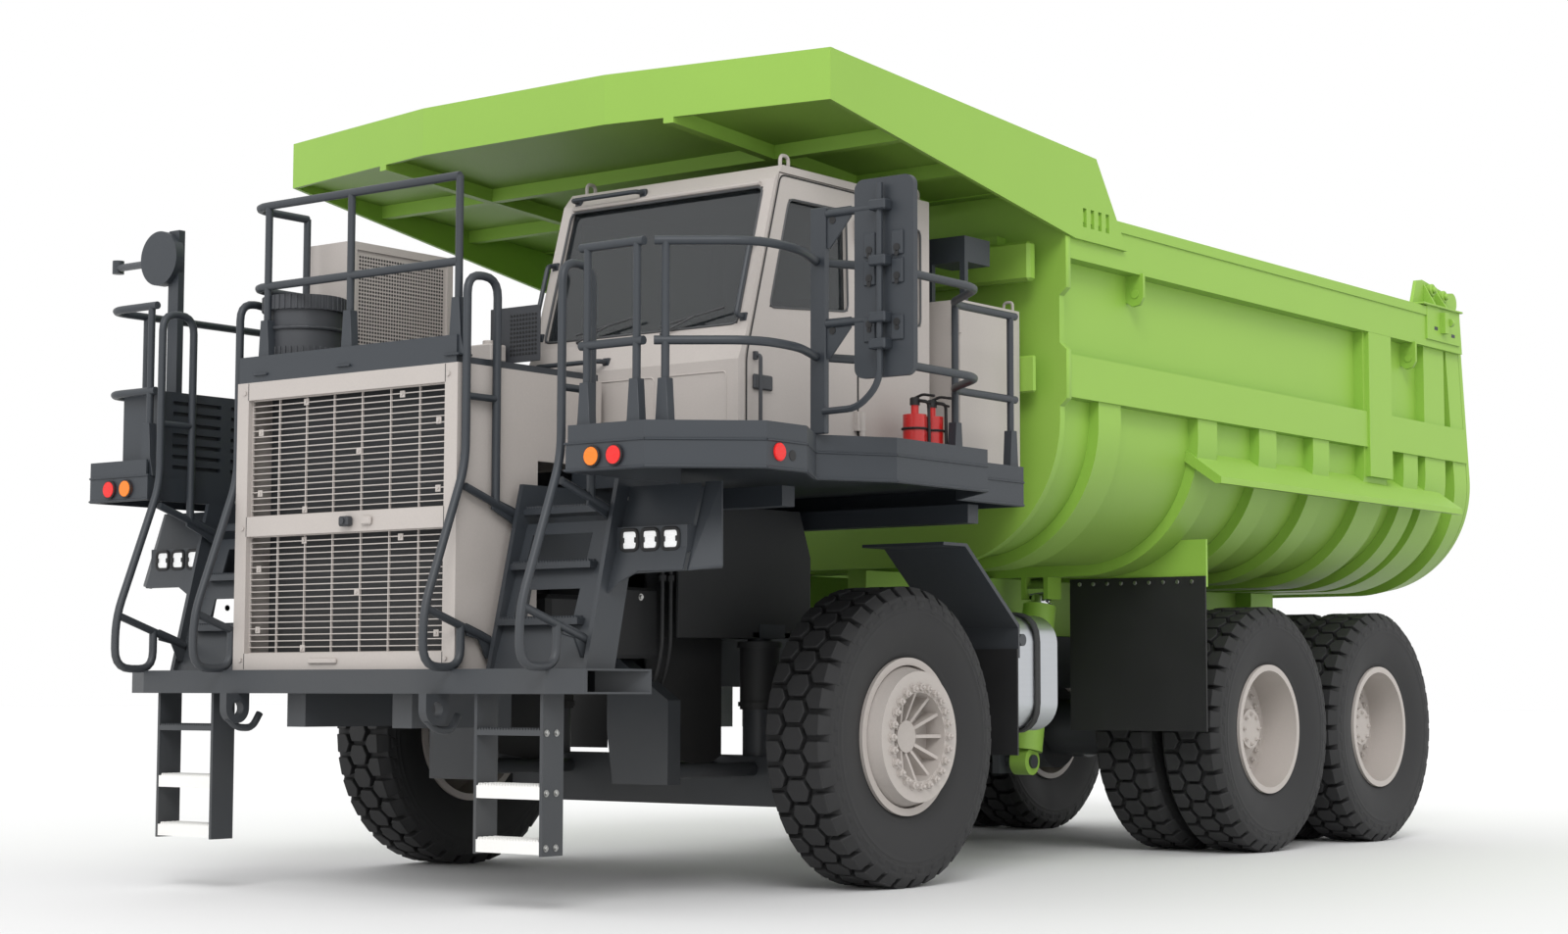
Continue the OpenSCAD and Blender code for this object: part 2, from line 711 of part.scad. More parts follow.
// Stair hoop rails
hoop_xs = [stringer_in - tube_r - seat_gap, stringer_out - tube_r - seat_gap];
hoop_back_y = -2570;
hoop_front_y = -2820;
hoop_low_y = -3140;
hoop_top = 3605;
hoop_knee = 2510;
hoop_foot = 1660;
hoop_low = 1350;
hoop_rung = 2900;
hoop_bend = 110;
hoop_strut_ys = [-2360, -2600];
hoop_strut_fall = 0.34;
hoop_upper_z = 2379;
hoop_r = (hoop_back_y - hoop_front_y) / 2;
hoop_turns = [0, 45, 90, 135, 180];
strut_share = 0.94;
module hoop(x) {
    lower_z = hoop_foot + tube_r;
    end_y = hoop_front_y - tube_r;
    tube_run(concat(
        [[x, hoop_back_y, hoop_upper_z - hoop_strut_fall * (hoop_back_y - hoop_front_y)]],
        [
            for (a = hoop_turns)
                [x, (hoop_back_y + hoop_front_y) / 2 + hoop_r * cos(a), hoop_top - hoop_r + hoop_r * sin(a)]
        ],
        [
            [x, hoop_front_y, hoop_knee], [x, hoop_low_y, hoop_foot],
            [x, hoop_low_y, hoop_low + hoop_bend], [x, hoop_low_y + hoop_bend, hoop_low],
            [x, end_y - hoop_bend, hoop_low],
            [x, end_y, lower_z - hoop_strut_fall * (end_y - hoop_low_y)]
        ]
    ), tube_r);
    rod([x, hoop_back_y, hoop_rung], [x, hoop_front_y, hoop_rung], tube_r * strut_share);
    for (s = [[hoop_front_y, hoop_upper_z, hoop_strut_ys[0]], [hoop_low_y, lower_z, hoop_strut_ys[1]]])
        translate([(1 - strut_share) * tube_r, 0, 0])
            rod([x, s[0], s[1]], [x, s[2], s[1] - hoop_strut_fall * (s[2] - s[0])], tube_r * strut_share);
}
module stair_hoops() color(slate) datum() both_sides() for (x = hoop_xs) hoop(x);

// Radiator housing, grilles, core and engine
housing_back = -2180;
hood_back = -1620;
housing_wall = 30;
face_t = 50;
window_half = 840;
window_low = 1440;
window_bar_z = 2150;
window_bar_h = 120;
window_top = 2985;
grille_wires = 18;
grille_stays = 6;
wire_t = 6;
grille_t = 14;
core_half = 800;
core_y = -2700;
core_d = 140;
engine_half = 340;
engine_y0 = -1950;
engine_y1 = -250;
engine_top = 2250;
windows = [[window_low, window_bar_z], [window_bar_z + window_bar_h, window_top]];
module radiator_housing() color(beige) datum() difference() {
    union() {
        slab([-housing_half, -front_y, bumper_top], [housing_half, housing_back, housing_top]);
        slab([-housing_half, housing_back - over, deck_z], [housing_half, hood_back, housing_top]);
    }
    slab(
        [-housing_half + housing_wall, -front_y + face_t, bumper_top + housing_wall],
        [housing_half - housing_wall, housing_back + over, housing_top - housing_wall]
    );
    slab(
        [-housing_half + housing_wall, housing_back - over, deck_z - over],
        [housing_half - housing_wall, hood_back - housing_wall, housing_top - housing_wall]
    );
    for (w = windows)
        slab([-window_half, -front_y - over, w[0]], [window_half, -front_y + face_t + over, w[1]]);
}
module radiator_grilles() color(beige) datum() for (w = windows)
    cross_plate(-front_y + face_t - grille_t, -front_y + face_t) {
        difference() {
            translate([-window_half, w[0]]) square([2 * window_half, w[1] - w[0]]);
            translate([-window_half + wire_t, w[0] + wire_t])
                square([2 * (window_half - wire_t), w[1] - w[0] - 2 * wire_t]);
        }
        for (i = [1:grille_wires])
            translate([-window_half, w[0] + i * (w[1] - w[0]) / (grille_wires + 1) - wire_t / 2])
                square([2 * window_half, wire_t]);
        for (i = [1:grille_stays])
            translate([-window_half + i * 2 * window_half / (grille_stays + 1) - wire_t / 2, w[0]])
                square([wire_t, w[1] - w[0]]);
    }
module radiator_core() color(black) datum()
    slab(
        [-core_half, core_y, bumper_top + housing_wall],
        [core_half, core_y + core_d, housing_top - housing_wall]
    );
module engine_block() color(black) datum()
    slab([-engine_half, engine_y0, rail_z + cross_h], [engine_half, engine_y1, engine_top]);

// Upper deck with its rail, air cleaner and cooling cabinet
upper_half = 930;
upper_t = 40;
upper_back = -1640;
upper_toe_h = 120;
upper_toe_t = 15;
upper_posts = [-900, 0, 900];
upper_post_y = -2815;
upper_mid_z = 3685;
upper_rail_z = 4185;
upper_return_y = -2350;
upper_z = housing_top + upper_t;
cleaner_x = -690;
cleaner_y = -2550;
cleaner_r = 235;
cleaner_h = 420;
cleaner_cap_r = 255;
cleaner_cap_h = 90;
cool_x0 = -1020;
cool_x1 = -600;
cool_y0 = -2250;
cool_y1 = -1350;
cool_top = 4035;
cool_frame = 50;
cool_recess = 12;
module upper_deck() color(slate) datum() {
    slab([-upper_half, -front_y, housing_top], [upper_half, upper_back, upper_z]);
    slab([-upper_half, -front_y, upper_z], [upper_half, -front_y + upper_toe_t, upper_z + upper_toe_h]);
}
module upper_rails() {
    for (z = [upper_mid_z, upper_rail_z])
        tube_run([
            [upper_posts[2], upper_post_y, z],
            [upper_posts[0], upper_post_y, z],
            [upper_posts[0], upper_return_y, z]
        ], tube_r);
    for (x = upper_posts)
        rod([x, upper_post_y, upper_z], [x, upper_post_y, upper_rail_z], tube_r * post_share);
    rod(
        [upper_posts[0], upper_return_y, upper_z],
        [upper_posts[0], upper_return_y, upper_rail_z], tube_r * post_share
    );
}
module air_cleaner() color(black) datum() translate([cleaner_x, cleaner_y, upper_z]) {
    cylinder(r = cleaner_r, h = cleaner_h);
    translate([0, 0, cleaner_h - over]) cylinder(r = cleaner_cap_r, h = cleaner_cap_h);
}
module cooling_cabinet() color(beige) datum() difference() {
    slab([cool_x0, cool_y0, upper_z], [cool_x1, cool_y1, cool_top]);
    slab(
        [cool_x1 - cool_recess, cool_y0 + cool_frame, upper_z + cool_frame],
        [cool_x1 + over, cool_y1 - cool_frame, cool_top - cool_frame]
    );
}

// Decks with their edge frames, toe plates and rails
deck_t = 25;
skirt_t = 15;
toe_h = 105;
toe_t = 12;
deck_in = 960;
deck_mid_in = 200;
deck_rear = 930;
stair_side = 1780;
stair_back = -1900;
cab_front = -1550;
bay_cut = 430;
bay_1 = [-2860, -1640];
bay_2 = [-1640, 170];
notch_x = 2590;
deck_front = -2860;
rail_inset = 60;
left_edge = [
    [deck_edge, deck_front],
    [bay_edge, bay_1[0] + bay_cut], [bay_edge, bay_1[1] - bay_cut], [notch_x, bay_1[1]],
    [bay_edge, bay_2[0] + bay_cut], [bay_edge, bay_2[1] - bay_cut], [deck_edge, bay_2[1]],
    [deck_edge, deck_rear]
];
right_edge = [[deck_edge, deck_front], [deck_edge, deck_rear]];
function deck_outline(edge) = concat(
    [[stair_side, deck_front]], edge,
    [
        [deck_mid_in, deck_rear], [deck_mid_in, cab_front], [deck_in, cab_front],
        [deck_in, stair_back], [stair_side, stair_back]
    ]
);
module deck(edge) {
    plan_plate(deck_z - deck_t, deck_z, deck_outline(edge));
    translate([0, 0, deck_low]) linear_extrude(deck_depth) difference() {
        polygon(deck_outline(edge));
        offset(delta = -skirt_t) polygon(deck_outline(edge));
    }
    // Toe plate along the outer edges only
    translate([0, 0, deck_z - deck_t]) linear_extrude(deck_t + toe_h) difference() {
        polygon(deck_outline(edge));
        offset(delta = -toe_t) polygon(deck_outline(edge));
        translate([0, 2 * deck_front]) square([stair_side + skirt_t, -2 * deck_front + deck_rear + over]);
        translate([0, cab_front]) square([rear_box_x1 + over, deck_rear - cab_front + over]);
    }
}
module side_rails(edge) {
    path = [for (p = concat([[stair_side + 2 * rail_inset, deck_front]], edge)) [p[0] - rail_inset, p[1]]];
    inner = [for (p = path) [p[0], max(p[1], deck_front + rail_inset)]];
    for (z = [deck_z + rail_rise / 2, deck_z + rail_rise])
        tube_run([for (p = inner) [p[0], p[1], z]], tube_r);
    for (p = inner)
        translate([p[0], min(p[1], deck_rear - rail_inset), deck_z])
            cylinder(r = tube_r * post_share, h = rail_rise);
}
module deck_left() color(slate) datum() deck(left_edge);
module deck_right() color(slate) datum() mirror([1, 0, 0]) deck(right_edge);
module deck_rails() color(slate) datum() {
    side_rails(left_edge);
    mirror([1, 0, 0]) side_rails(right_edge);
    upper_rails();
    // Post of the left mirror, standing on the toe plate
    slab(
        [mirror_post_x[0], mirror_y, deck_z + toe_h],
        [mirror_post_x[1], mirror_y + mirror_t, mirror_post_top]
    );
}

// Cabinets and fire extinguishers on the decks
louvre_x0 = -2180;
louvre_x1 = -1790;
louvre_y0 = -2740;
louvre_y1 = -1700;
louvre_h = 550;
louvre_slots = 7;
louvre_slot_h = 24;
louvre_slot_deep = 30;
rear_box_x0 = 1150;
rear_box_x1 = 2050;
rear_box_y0 = 640;
rear_box_y1 = 1360;
rear_box_h = 1200;
signal_x0 = 1750;
signal_y0 = 700;
signal_d = 300;
signal_h = 170;
signal_rise = 260;
signal_leg = 40;
ext_x = 2150;
ext_ys = [-20, 170];
ext_r = 75;
ext_h = 380;
ext_neck_r = 25;
ext_neck_h = 90;
louvre_column_shares = [[0.08, 0.46], [0.54, 0.92]];
module louvre_cabinet() color(slate) datum() difference() {
    slab([louvre_x0, louvre_y0, deck_z], [louvre_x1, louvre_y1, deck_z + louvre_h]);
    for (c = louvre_column_shares)
        for (i = [1:louvre_slots])
            translate([louvre_x1 - louvre_slot_deep, louvre_y0, deck_z + i * louvre_h / (louvre_slots + 1)])
                slab(
                    [0, c[0] * (louvre_y1 - louvre_y0), -louvre_slot_h / 2],
                    [louvre_slot_deep + over, c[1] * (louvre_y1 - louvre_y0), louvre_slot_h / 2]
                );
}
module rear_cabinet() color(beige) datum()
    slab([rear_box_x0, rear_box_y0, deck_z], [rear_box_x1, rear_box_y1, deck_z + rear_box_h]);
module signal_box() color(slate) datum() translate([0, 0, deck_z + rear_box_h]) {
    for (x = [signal_x0, rear_box_x1 - signal_leg])
        slab([x, signal_y0, 0], [x + signal_leg, signal_y0 + signal_leg, signal_rise]);
    slab([signal_x0, signal_y0, signal_rise], [rear_box_x1, signal_y0 + signal_d, signal_rise + signal_h]);
}
module fire_extinguishers() color("red") datum() for (y = ext_ys) translate([ext_x, y, deck_z]) {
    cylinder(r = ext_r, h = ext_h);
    cylinder(r = ext_neck_r, h = ext_h + ext_neck_h);
}

// Marker lamps on the deck's front, tail lamps on the frame
mark_r = 50;
mark_t = 22;
mark_z = 2495;
red_x = 2144;
amber_x = 1982;
tail_x = 300;
tail_pitch = 150;
tail_z = 1500;
module red_lamps() color("red") datum() both_sides() {
    y_cyl(deck_front - mark_t, deck_front, red_x, mark_z, mark_r);
    y_cyl(rail_rear, rail_rear + mark_t, tail_x, tail_z, mark_r);
}
module amber_lamps() color("orange") datum() both_sides() {
    y_cyl(deck_front - mark_t, deck_front, amber_x, mark_z, mark_r);
    y_cyl(rail_rear, rail_rear + mark_t, tail_x - tail_pitch, tail_z, mark_r);
}

// Cab: side outline in shares of its length and height
cab_shares = [[0, 0], [0, 0.33], [0.04, 0.43], [0.176, 0.95], [0.215, 1], [1, 1], [1, 0]];
cab_rear = cab_front + cab_len;
screen_side = 80;
screen_shares = [0.452, 0.925];
side_window_shares = [[0.23, 0.51], [0.9, 0.9]];
quarter_shares = [[0.69, 0.545], [0.95, 0.89]];
rear_window_shares = [[0.15, 0.5], [0.85, 0.89]];
door_shares = [[0.035, 0.03], [0.035, 0.34], [0.2, 0.97], [0.605, 0.97], [0.605, 0.03]];
door_glass_shares = [[0.15, 0.515], [0.245, 0.89], [0.54, 0.895], [0.55, 0.55]];
glass_in_share = 0.5;
hinge_r = 22;
hinge_pin_r = 12;
hinge_h = 120;
hinge_lug_h = 40;
hinge_off = 30;
hinge_share = [0.12, 0.78];
cab_w = cab_out - cab_in;
door_rear_y = cab_front + door_shares[3][0] * cab_len;
hinge_x = cab_out + hinge_off;
hinge_y = door_rear_y + move_gap / 2;
function cab_points(shares) = [for (p = shares) [cab_front + p[0] * cab_len, deck_z + p[1] * cab_h]];
// The slanted front, from the foot of the windscreen to its head
screen_foot = cab_points(cab_shares)[2];
screen_head = cab_points(cab_shares)[3];
screen_slope = (screen_head[0] - screen_foot[0]) / (screen_head[1] - screen_foot[1]);
function screen_y(z) = screen_foot[0] + screen_slope * (z - screen_foot[1]);
screen_z = [for (s = screen_shares) deck_z + s * cab_h];
module cab_box(x0, x1, shares) {
    a = cab_points(shares)[0];
    b = cab_points(shares)[1];
    slab([x0, a[0], a[1]], [x1, b[0], b[1]]);
}
module rear_window(y0, y1) {
    low = rear_window_shares[0];
    high = rear_window_shares[1];
    slab(
        [cab_in + low[0] * cab_w, y0, deck_z + low[1] * cab_h],
        [cab_in + high[0] * cab_w, y1, deck_z + high[1] * cab_h]
    );
}
module cab_shell() color(beige) datum() {
    difference() {
        side_plate(cab_in, cab_out, cab_points(cab_shares));
        translate([cab_in + cab_wall, 0, 0]) rotate([90, 0, 90]) linear_extrude(cab_w - 2 * cab_wall)
            offset(delta = -cab_wall) polygon(cab_points(cab_shares));
        slab(
            [cab_in + screen_side, cab_front - over, screen_z[0]],
            [cab_out - screen_side, screen_head[0] + cab_wall + over, screen_z[1]]
        );
        cab_box(cab_in - over, cab_in + cab_wall + over, side_window_shares);
        cab_box(cab_out - cab_wall - over, cab_out + over, quarter_shares);
        rear_window(cab_rear - cab_wall - over, cab_rear + over);
        translate([cab_out - cab_wall - over, 0, 0]) rotate([90, 0, 90]) linear_extrude(cab_wall + 2 * over)
            offset(delta = move_gap) polygon(cab_points(door_shares));
    }
    for (s = hinge_share)
        translate([0, 0, deck_z + s * cab_h]) {
            slab([cab_out, hinge_y, 0], [hinge_x, hinge_y + 2 * hinge_r + move_gap, hinge_lug_h]);
            translate([hinge_x, hinge_y, 0]) cylinder(r = hinge_r, h = hinge_lug_h);
            translate([hinge_x, hinge_y, 0]) cylinder(r = hinge_pin_r, h = hinge_lug_h + end_gap + hinge_h);
        }
}
glass_x = cab_wall * glass_in_share;
module cab_glass() color("#20262b", 0.6) datum() {
    translate([cab_in + screen_side, 0, 0]) rotate([90, 0, 90]) linear_extrude(cab_w - 2 * screen_side)
        polygon([
            for (z = screen_z) [screen_y(z) + glass_x, z],
            for (z = reversed(screen_z)) [screen_y(z) + glass_x + glass_t, z]
        ]);
    cab_box(cab_in + glass_x, cab_in + glass_x + glass_t, side_window_shares);
    cab_box(cab_out - glass_x - glass_t, cab_out - glass_x, quarter_shares);
    rear_window(cab_rear - glass_x - glass_t, cab_rear - glass_x);
}
module cab_door() color(beige) datum() {
    difference() {
        side_plate(cab_out - cab_wall, cab_out, cab_points(door_shares));
        side_plate(cab_out - cab_wall - over, cab_out + over, cab_points(door_glass_shares));
    }
    for (s = hinge_share)
        translate([0, 0, deck_z + s * cab_h + hinge_lug_h + end_gap]) difference() {
            union() {
                slab([cab_out - over, hinge_y - 2 * hinge_r - move_gap, 0], [hinge_x, hinge_y, hinge_h]);
                translate([hinge_x, hinge_y, 0]) cylinder(r = hinge_r, h = hinge_h);
            }
            translate([hinge_x, hinge_y, -over]) cylinder(r = hinge_pin_r + run_gap, h = hinge_h + 2 * over);
        }
}
module door_glass() color("#20262b", 0.6) datum()
    side_plate(cab_out - glass_x - glass_t, cab_out - glass_x, cab_points(door_glass_shares));

// Seat, console and steering wheel
seat_x = 1250;
seat_y = -480;
seat_w = 520;
seat_d = 500;
seat_rise = 420;
seat_t = 130;
seat_base = 300;
back_h = 700;
back_t = 120;
dash_d = 300;
dash_h = 820;
dash_side = 60;
wheel_r = 215;
wheel_tube = 18;
wheel_tilt = 35;
column_r = 40;
column_foot = 300;
cab_floor = deck_z + cab_wall;
module cab_interior() color("#33363a") datum() translate([0, 0, cab_floor]) {
    translate([seat_x, seat_y, 0]) {
        slab([-seat_base / 2, 0, 0], [seat_base / 2, seat_base, seat_rise]);
        slab([-seat_w / 2, 0, seat_rise - seat_t / 2], [seat_w / 2, seat_d, seat_rise + seat_t / 2]);
        slab([-seat_w / 2, seat_d - back_t, seat_rise], [seat_w / 2, seat_d, seat_rise + back_h]);
    }
    slab(
        [cab_in + cab_wall + dash_side, cab_front + cab_wall + dash_side, 0],
        [cab_out - cab_wall - dash_side, cab_front + cab_wall + dash_side + dash_d, dash_h - dash_d]
    );
    slab(
        [seat_x - column_foot / 2, cab_front + dash_d, 0],
        [seat_x + column_foot / 2, cab_front + dash_d + column_foot, dash_h - dash_d]
    );
    translate([seat_x, cab_front + dash_d + column_foot / 2, dash_h - dash_d - over])
        rotate([-wheel_tilt, 0, 0]) {
            cylinder(r = column_r, h = column_foot);
            translate([0, 0, column_foot]) rotate_extrude() translate([wheel_r, 0]) circle(r = wheel_tube);
            for (a = [0, 120, 240])
                rotate([0, 0, a]) translate([0, 0, column_foot]) rotate([0, 90, 0])
                    cylinder(r = wheel_tube / 2, h = wheel_r);
            translate([0, 0, column_foot - wheel_tube]) cylinder(r = column_r, h = 2 * wheel_tube);
        }
}

// Mirrors on their posts
mirror_x0 = 2875;
mirror_x1 = 3281;
mirror_t = 40;
mirror_round = 60;
post_half = 50;
mirror_low = 2970;
mirror_top = 4100;
mirror_y = -1660;
mirror_post_top = 3975;
mirror_arm_zs = [3300, 3935];
mirror_post_r = 35;
mirror_post_x = [2560, 2670];
right_post_x = -2100;
right_post_y = -2400;
right_post_top = 4230;
round_mirror_r = 180;
round_mirror_z = 4050;
round_mirror_x = -2200;
beacon_x = -3130;
beacon_y = -2061;
beacon_r = 40;
beacon_h = 90;
beacon_z = 4125;
beacon_arm_z = 4040;
module mirrors() color(slate) datum() {
    cross_plate(mirror_y, mirror_y + mirror_t)
        soft_rect(mirror_x0, mirror_x1, mirror_low, mirror_top, mirror_round);
    for (z = mirror_arm_zs)
        x_cyl(
            mirror_post_x[1], (mirror_x0 + mirror_x1) / 2,
            mirror_y + mirror_t / 2, z, tube_r * strut_share
        );
    translate([right_post_x, right_post_y, 0])
        slab([-post_half, -post_half / 2, deck_z + louvre_h], [post_half, post_half / 2, right_post_top]);
    y_cyl(right_post_y - 2 * mirror_post_r, right_post_y, round_mirror_x, round_mirror_z, round_mirror_r);
    rod([right_post_x, right_post_y, beacon_arm_z], [beacon_x, beacon_y, beacon_z], tube_r);
    translate([beacon_x, beacon_y, beacon_z - beacon_r]) cylinder(r = beacon_r, h = beacon_h);
}

// Side tanks, front fenders and their flaps
tank_out = 1800;
tank_low = 950;
tank_top = 1750;
tank_r = 200;
tank_y0 = 1500;
tank_l = 719.5;
flap_gap = 208;
hanger_plate_y = wheel_base - tyre_r - flap_gap;
tank_y1 = tank_y0 + tank_l;
fender_x0 = 1480;
fender_x1 = 2120;
fender_y = 1215;
fender_t = 20;
fender_front = 340;
fender_bend = 590;
fender_top = 2150;
fender_knee = 1640;
fender_low = 1440;
flap_low = 800;
flap_t = 15;
flap_top = 1500;
module soft_rect(x0, x1, z0, z1, r) {
    translate([x0 + r, z0]) square([x1 - x0 - 2 * r, z1 - z0]);
    translate([x0, z0 + r]) square([x1 - x0, z1 - z0 - 2 * r]);
    for (x = [x0 + r, x1 - r])
        for (z = [z0 + r, z1 - r]) translate([x, z]) circle(r = r);
}
module side_tanks() color("silver") datum() both_sides()
    cross_plate(tank_y0, tank_y1) {
        soft_rect(tank_in, tank_out, tank_low, tank_top, tank_r);
        translate([tank_in, tank_low]) square([tank_r, tank_top - tank_low]);
    }
fender_tube_y = fender_y + fender_t + fender_tube_r + seat_gap;
fender_path = [
    [fender_front, fender_top], [fender_bend, fender_top], [fender_y, fender_knee], [fender_y, fender_low]
];
module front_fenders() color(slate) datum() both_sides()
    side_plate(fender_x0, fender_x1, concat(
        fender_path,
        [
            for (p = reversed(fender_path))
                [p[0] + (p[0] == fender_front ? 0 : fender_t), p[1] + (p[1] == fender_low ? 0 : fender_t)]
        ]
    ));
module front_flaps() color(black) datum() both_sides()
    slab([fender_x0, fender_y - flap_t, flap_low], [fender_x1, fender_y, flap_top]);

// Dump body: trough with wrapped ribs and rails
top_rail_z = 4140;
top_rail_h = 340;
top_rail_t = 120;
belt_z = 3200;
belt_h = 290;
belt_t = 100;
ribs = [
    [2000, 300, belt_z], [3400, 290, belt_z], [4350, 280, belt_z], [5250, 280, belt_z],
    [6160, 430, top_rail_z], [6910, 280, belt_z], [7340, 410, top_rail_z]
];
shelf_y0 = 3370;
shelf_y1 = 7630;
shelf_z = 2950;
shelf_lip_z = 2720;
shelf_out = 2480;
shelf_t = 45;
tail_d = 260;
board_t = 60;
board_rib_d = 100;
board_rib_h = 220;
board_rib_half = 1850;
board_rib_low_z = 3290;
board_rib_top_z = 4090;
board_rib_zs = [board_rib_low_z, board_rib_top_z];
rib_low = trough_z - rib_t;
gate_gap = 8;
gate_t = 60;
gate_rib_t = 60;
gate_rib_h = 180;
gate_rib_half = 1500;
gate_rib_shares = [0.3, 0.62];
gate_hinge_z = 170;
gate_hinge_y = gate_gap + gate_t / 2;
gate_pin_r = 40;
gate_eye_r = 85;
gate_arm_t = 80;
gate_arm_in = 100;
gate_ear_t = 50;
gate_ear_back = 380;
gate_seat = 60;
tail_drop = trough_top - rib_low;
tail_tip = body_rear + tail_drop * tan(tail_lean);

module trough_shape(half, low, r, top) {
    translate([-half, low + r]) square([2 * half, top - low - r]);
    translate([-half + r, low]) square([2 * (half - r), r + over]);
    for (side = [-1, 1]) translate([side * (half - r), low + r]) circle(r = r);
}
module ribbed_shape(grow, top) trough_shape(trough_half + grow, trough_z - grow, trough_r + grow, top);
// The tail's own frame: origin at the top rear edge, leaning with the rear end
module tail_frame() translate([0, body_rear, trough_top]) rotate([tail_lean, 0, 0]) children();
module body_trough() color(lime) datum() {
    difference() {
        union() {
            cross_plate(body_front, tail_tip) ribbed_shape(0, trough_top);
            for (rib = ribs) cross_plate(rib[0], rib[0] + rib[1]) ribbed_shape(rib_t, rib[2]);
            both_sides() {
                slab(
                    [trough_half - plate_t, body_front, top_rail_z],
                    [trough_half + top_rail_t, tail_tip, top_rail_z + top_rail_h]
                );
                slab(
                    [trough_half - plate_t, body_front, belt_z],
                    [trough_half + belt_t, tail_tip, belt_z + belt_h]
                );
                cross_plate(shelf_y0, shelf_y1) polygon([
                    [trough_half - plate_t, shelf_z + shelf_t], [trough_half - plate_t, shelf_z - shelf_t],
                    [shelf_out - shelf_t, shelf_lip_z], [shelf_out, shelf_lip_z],
                    [shelf_out, shelf_lip_z + shelf_t]
                ]);
            }
            tail_frame() translate([0, 0, -trough_top])
                cross_plate(-tail_d, 0) ribbed_shape(rib_t, trough_top);
        }
        cross_plate(body_front - over, tail_tip + tail_d) ribbed_shape(-plate_t, trough_top + top_rail_h);
        tail_frame() slab(
            [-2 * trough_half, 0, -2 * tail_drop],
            [2 * trough_half, 2 * tail_d + tail_tip - body_rear, tail_drop]
        );
    }
    // Hinge ears of the tailgate, each with its pin
    tail_frame() both_sides() {
        side_plate(trough_half, trough_half + gate_ear_t, [
            [-gate_ear_back, 0], [-gate_seat, 0], [gate_hinge_y, gate_hinge_z - gate_eye_r],
            [gate_hinge_y, gate_hinge_z + gate_eye_r], [-gate_seat, gate_hinge_z + gate_eye_r]
        ]);
        x_cyl(trough_half, trough_half + gate_ear_t, gate_hinge_y, gate_hinge_z, gate_eye_r);
        x_cyl(trough_half - gate_arm_in, trough_half + gate_ear_t, gate_hinge_y, gate_hinge_z, gate_pin_r);
    }
}
module body_headboard() color(lime) datum() {
    cross_plate(body_front - board_t, body_front) ribbed_shape(rib_t, board_top);
    for (z = board_rib_zs)
        slab(
            [-board_rib_half, board_y, z],
            [board_rib_half, body_front - board_t + over, z + board_rib_h]
        );
}
module tailgate() color(lime) datum() tail_frame() {
    translate([0, 0, -trough_top]) cross_plate(gate_gap, gate_gap + gate_t) ribbed_shape(rib_t, trough_top);
    for (s = gate_rib_shares)
        translate([0, 0, -s * tail_drop])
            slab([-gate_rib_half, gate_gap, 0], [gate_rib_half, gate_gap + gate_t + gate_rib_t, gate_rib_h]);
    both_sides() difference() {
        union() {
            slab(
                [trough_half - end_gap - gate_arm_t, gate_gap, -gate_rib_h],
                [trough_half - end_gap, gate_gap + gate_t, gate_hinge_z]
            );
            x_cyl(
                trough_half - end_gap - gate_arm_t, trough_half - end_gap,
                gate_hinge_y, gate_hinge_z, gate_eye_r
            );
        }
        x_cyl(
            trough_half - 2 * gate_arm_t, trough_half + over,
            gate_hinge_y, gate_hinge_z, gate_pin_r + run_gap
        );
    }
}

// Canopy over the cab
canopy_mid_half = 795;
canopy_front = -1448;
canopy_corner = -1180;
canopy_t = 30;
canopy_half = trough_half + top_rail_t + canopy_t;
canopy_top = deck_z + cab_h + canopy_rise;
canopy_dip = 255;
floor_front_z = canopy_top - canopy_dip;
floor_fall = 190;
canopy_rib_h = 90;
canopy_rib_t = 70;
canopy_rib_x = 1250;
canopy_rib_xs = [-canopy_rib_x, canopy_rib_x];
canopy_cross_front = -350;
canopy_cross_rear = 550;
canopy_cross_ys = [canopy_cross_front, canopy_cross_rear];
canopy_side_rear = 2290;
canopy_crest_y = 1880;
crest_dip = 185;
canopy_crest_z = canopy_top - crest_dip;
side_drop = 770;
canopy_side_low = canopy_top - side_drop;
canopy_knee_y = 1600;
slots = 4;
slot_pitch = 100;
slot_w = 45;
slot_h = 130;
slot_up = 90;
function floor_z(y) = floor_front_z - floor_fall * (y - canopy_front) / (body_front - canopy_front);
board_y = body_front - board_t - board_rib_d;
board_top = floor_z(body_front);
module canopy_slope(low, high) {
    polygon([
        [canopy_front, floor_front_z + low], [body_front, board_top + low],
        [body_front, board_top + high], [canopy_front, floor_front_z + high]
    ]);
}
canopy_edge = [
    [-canopy_half, canopy_corner], [-canopy_mid_half, canopy_front],
    [canopy_mid_half, canopy_front], [canopy_half, canopy_corner]
];
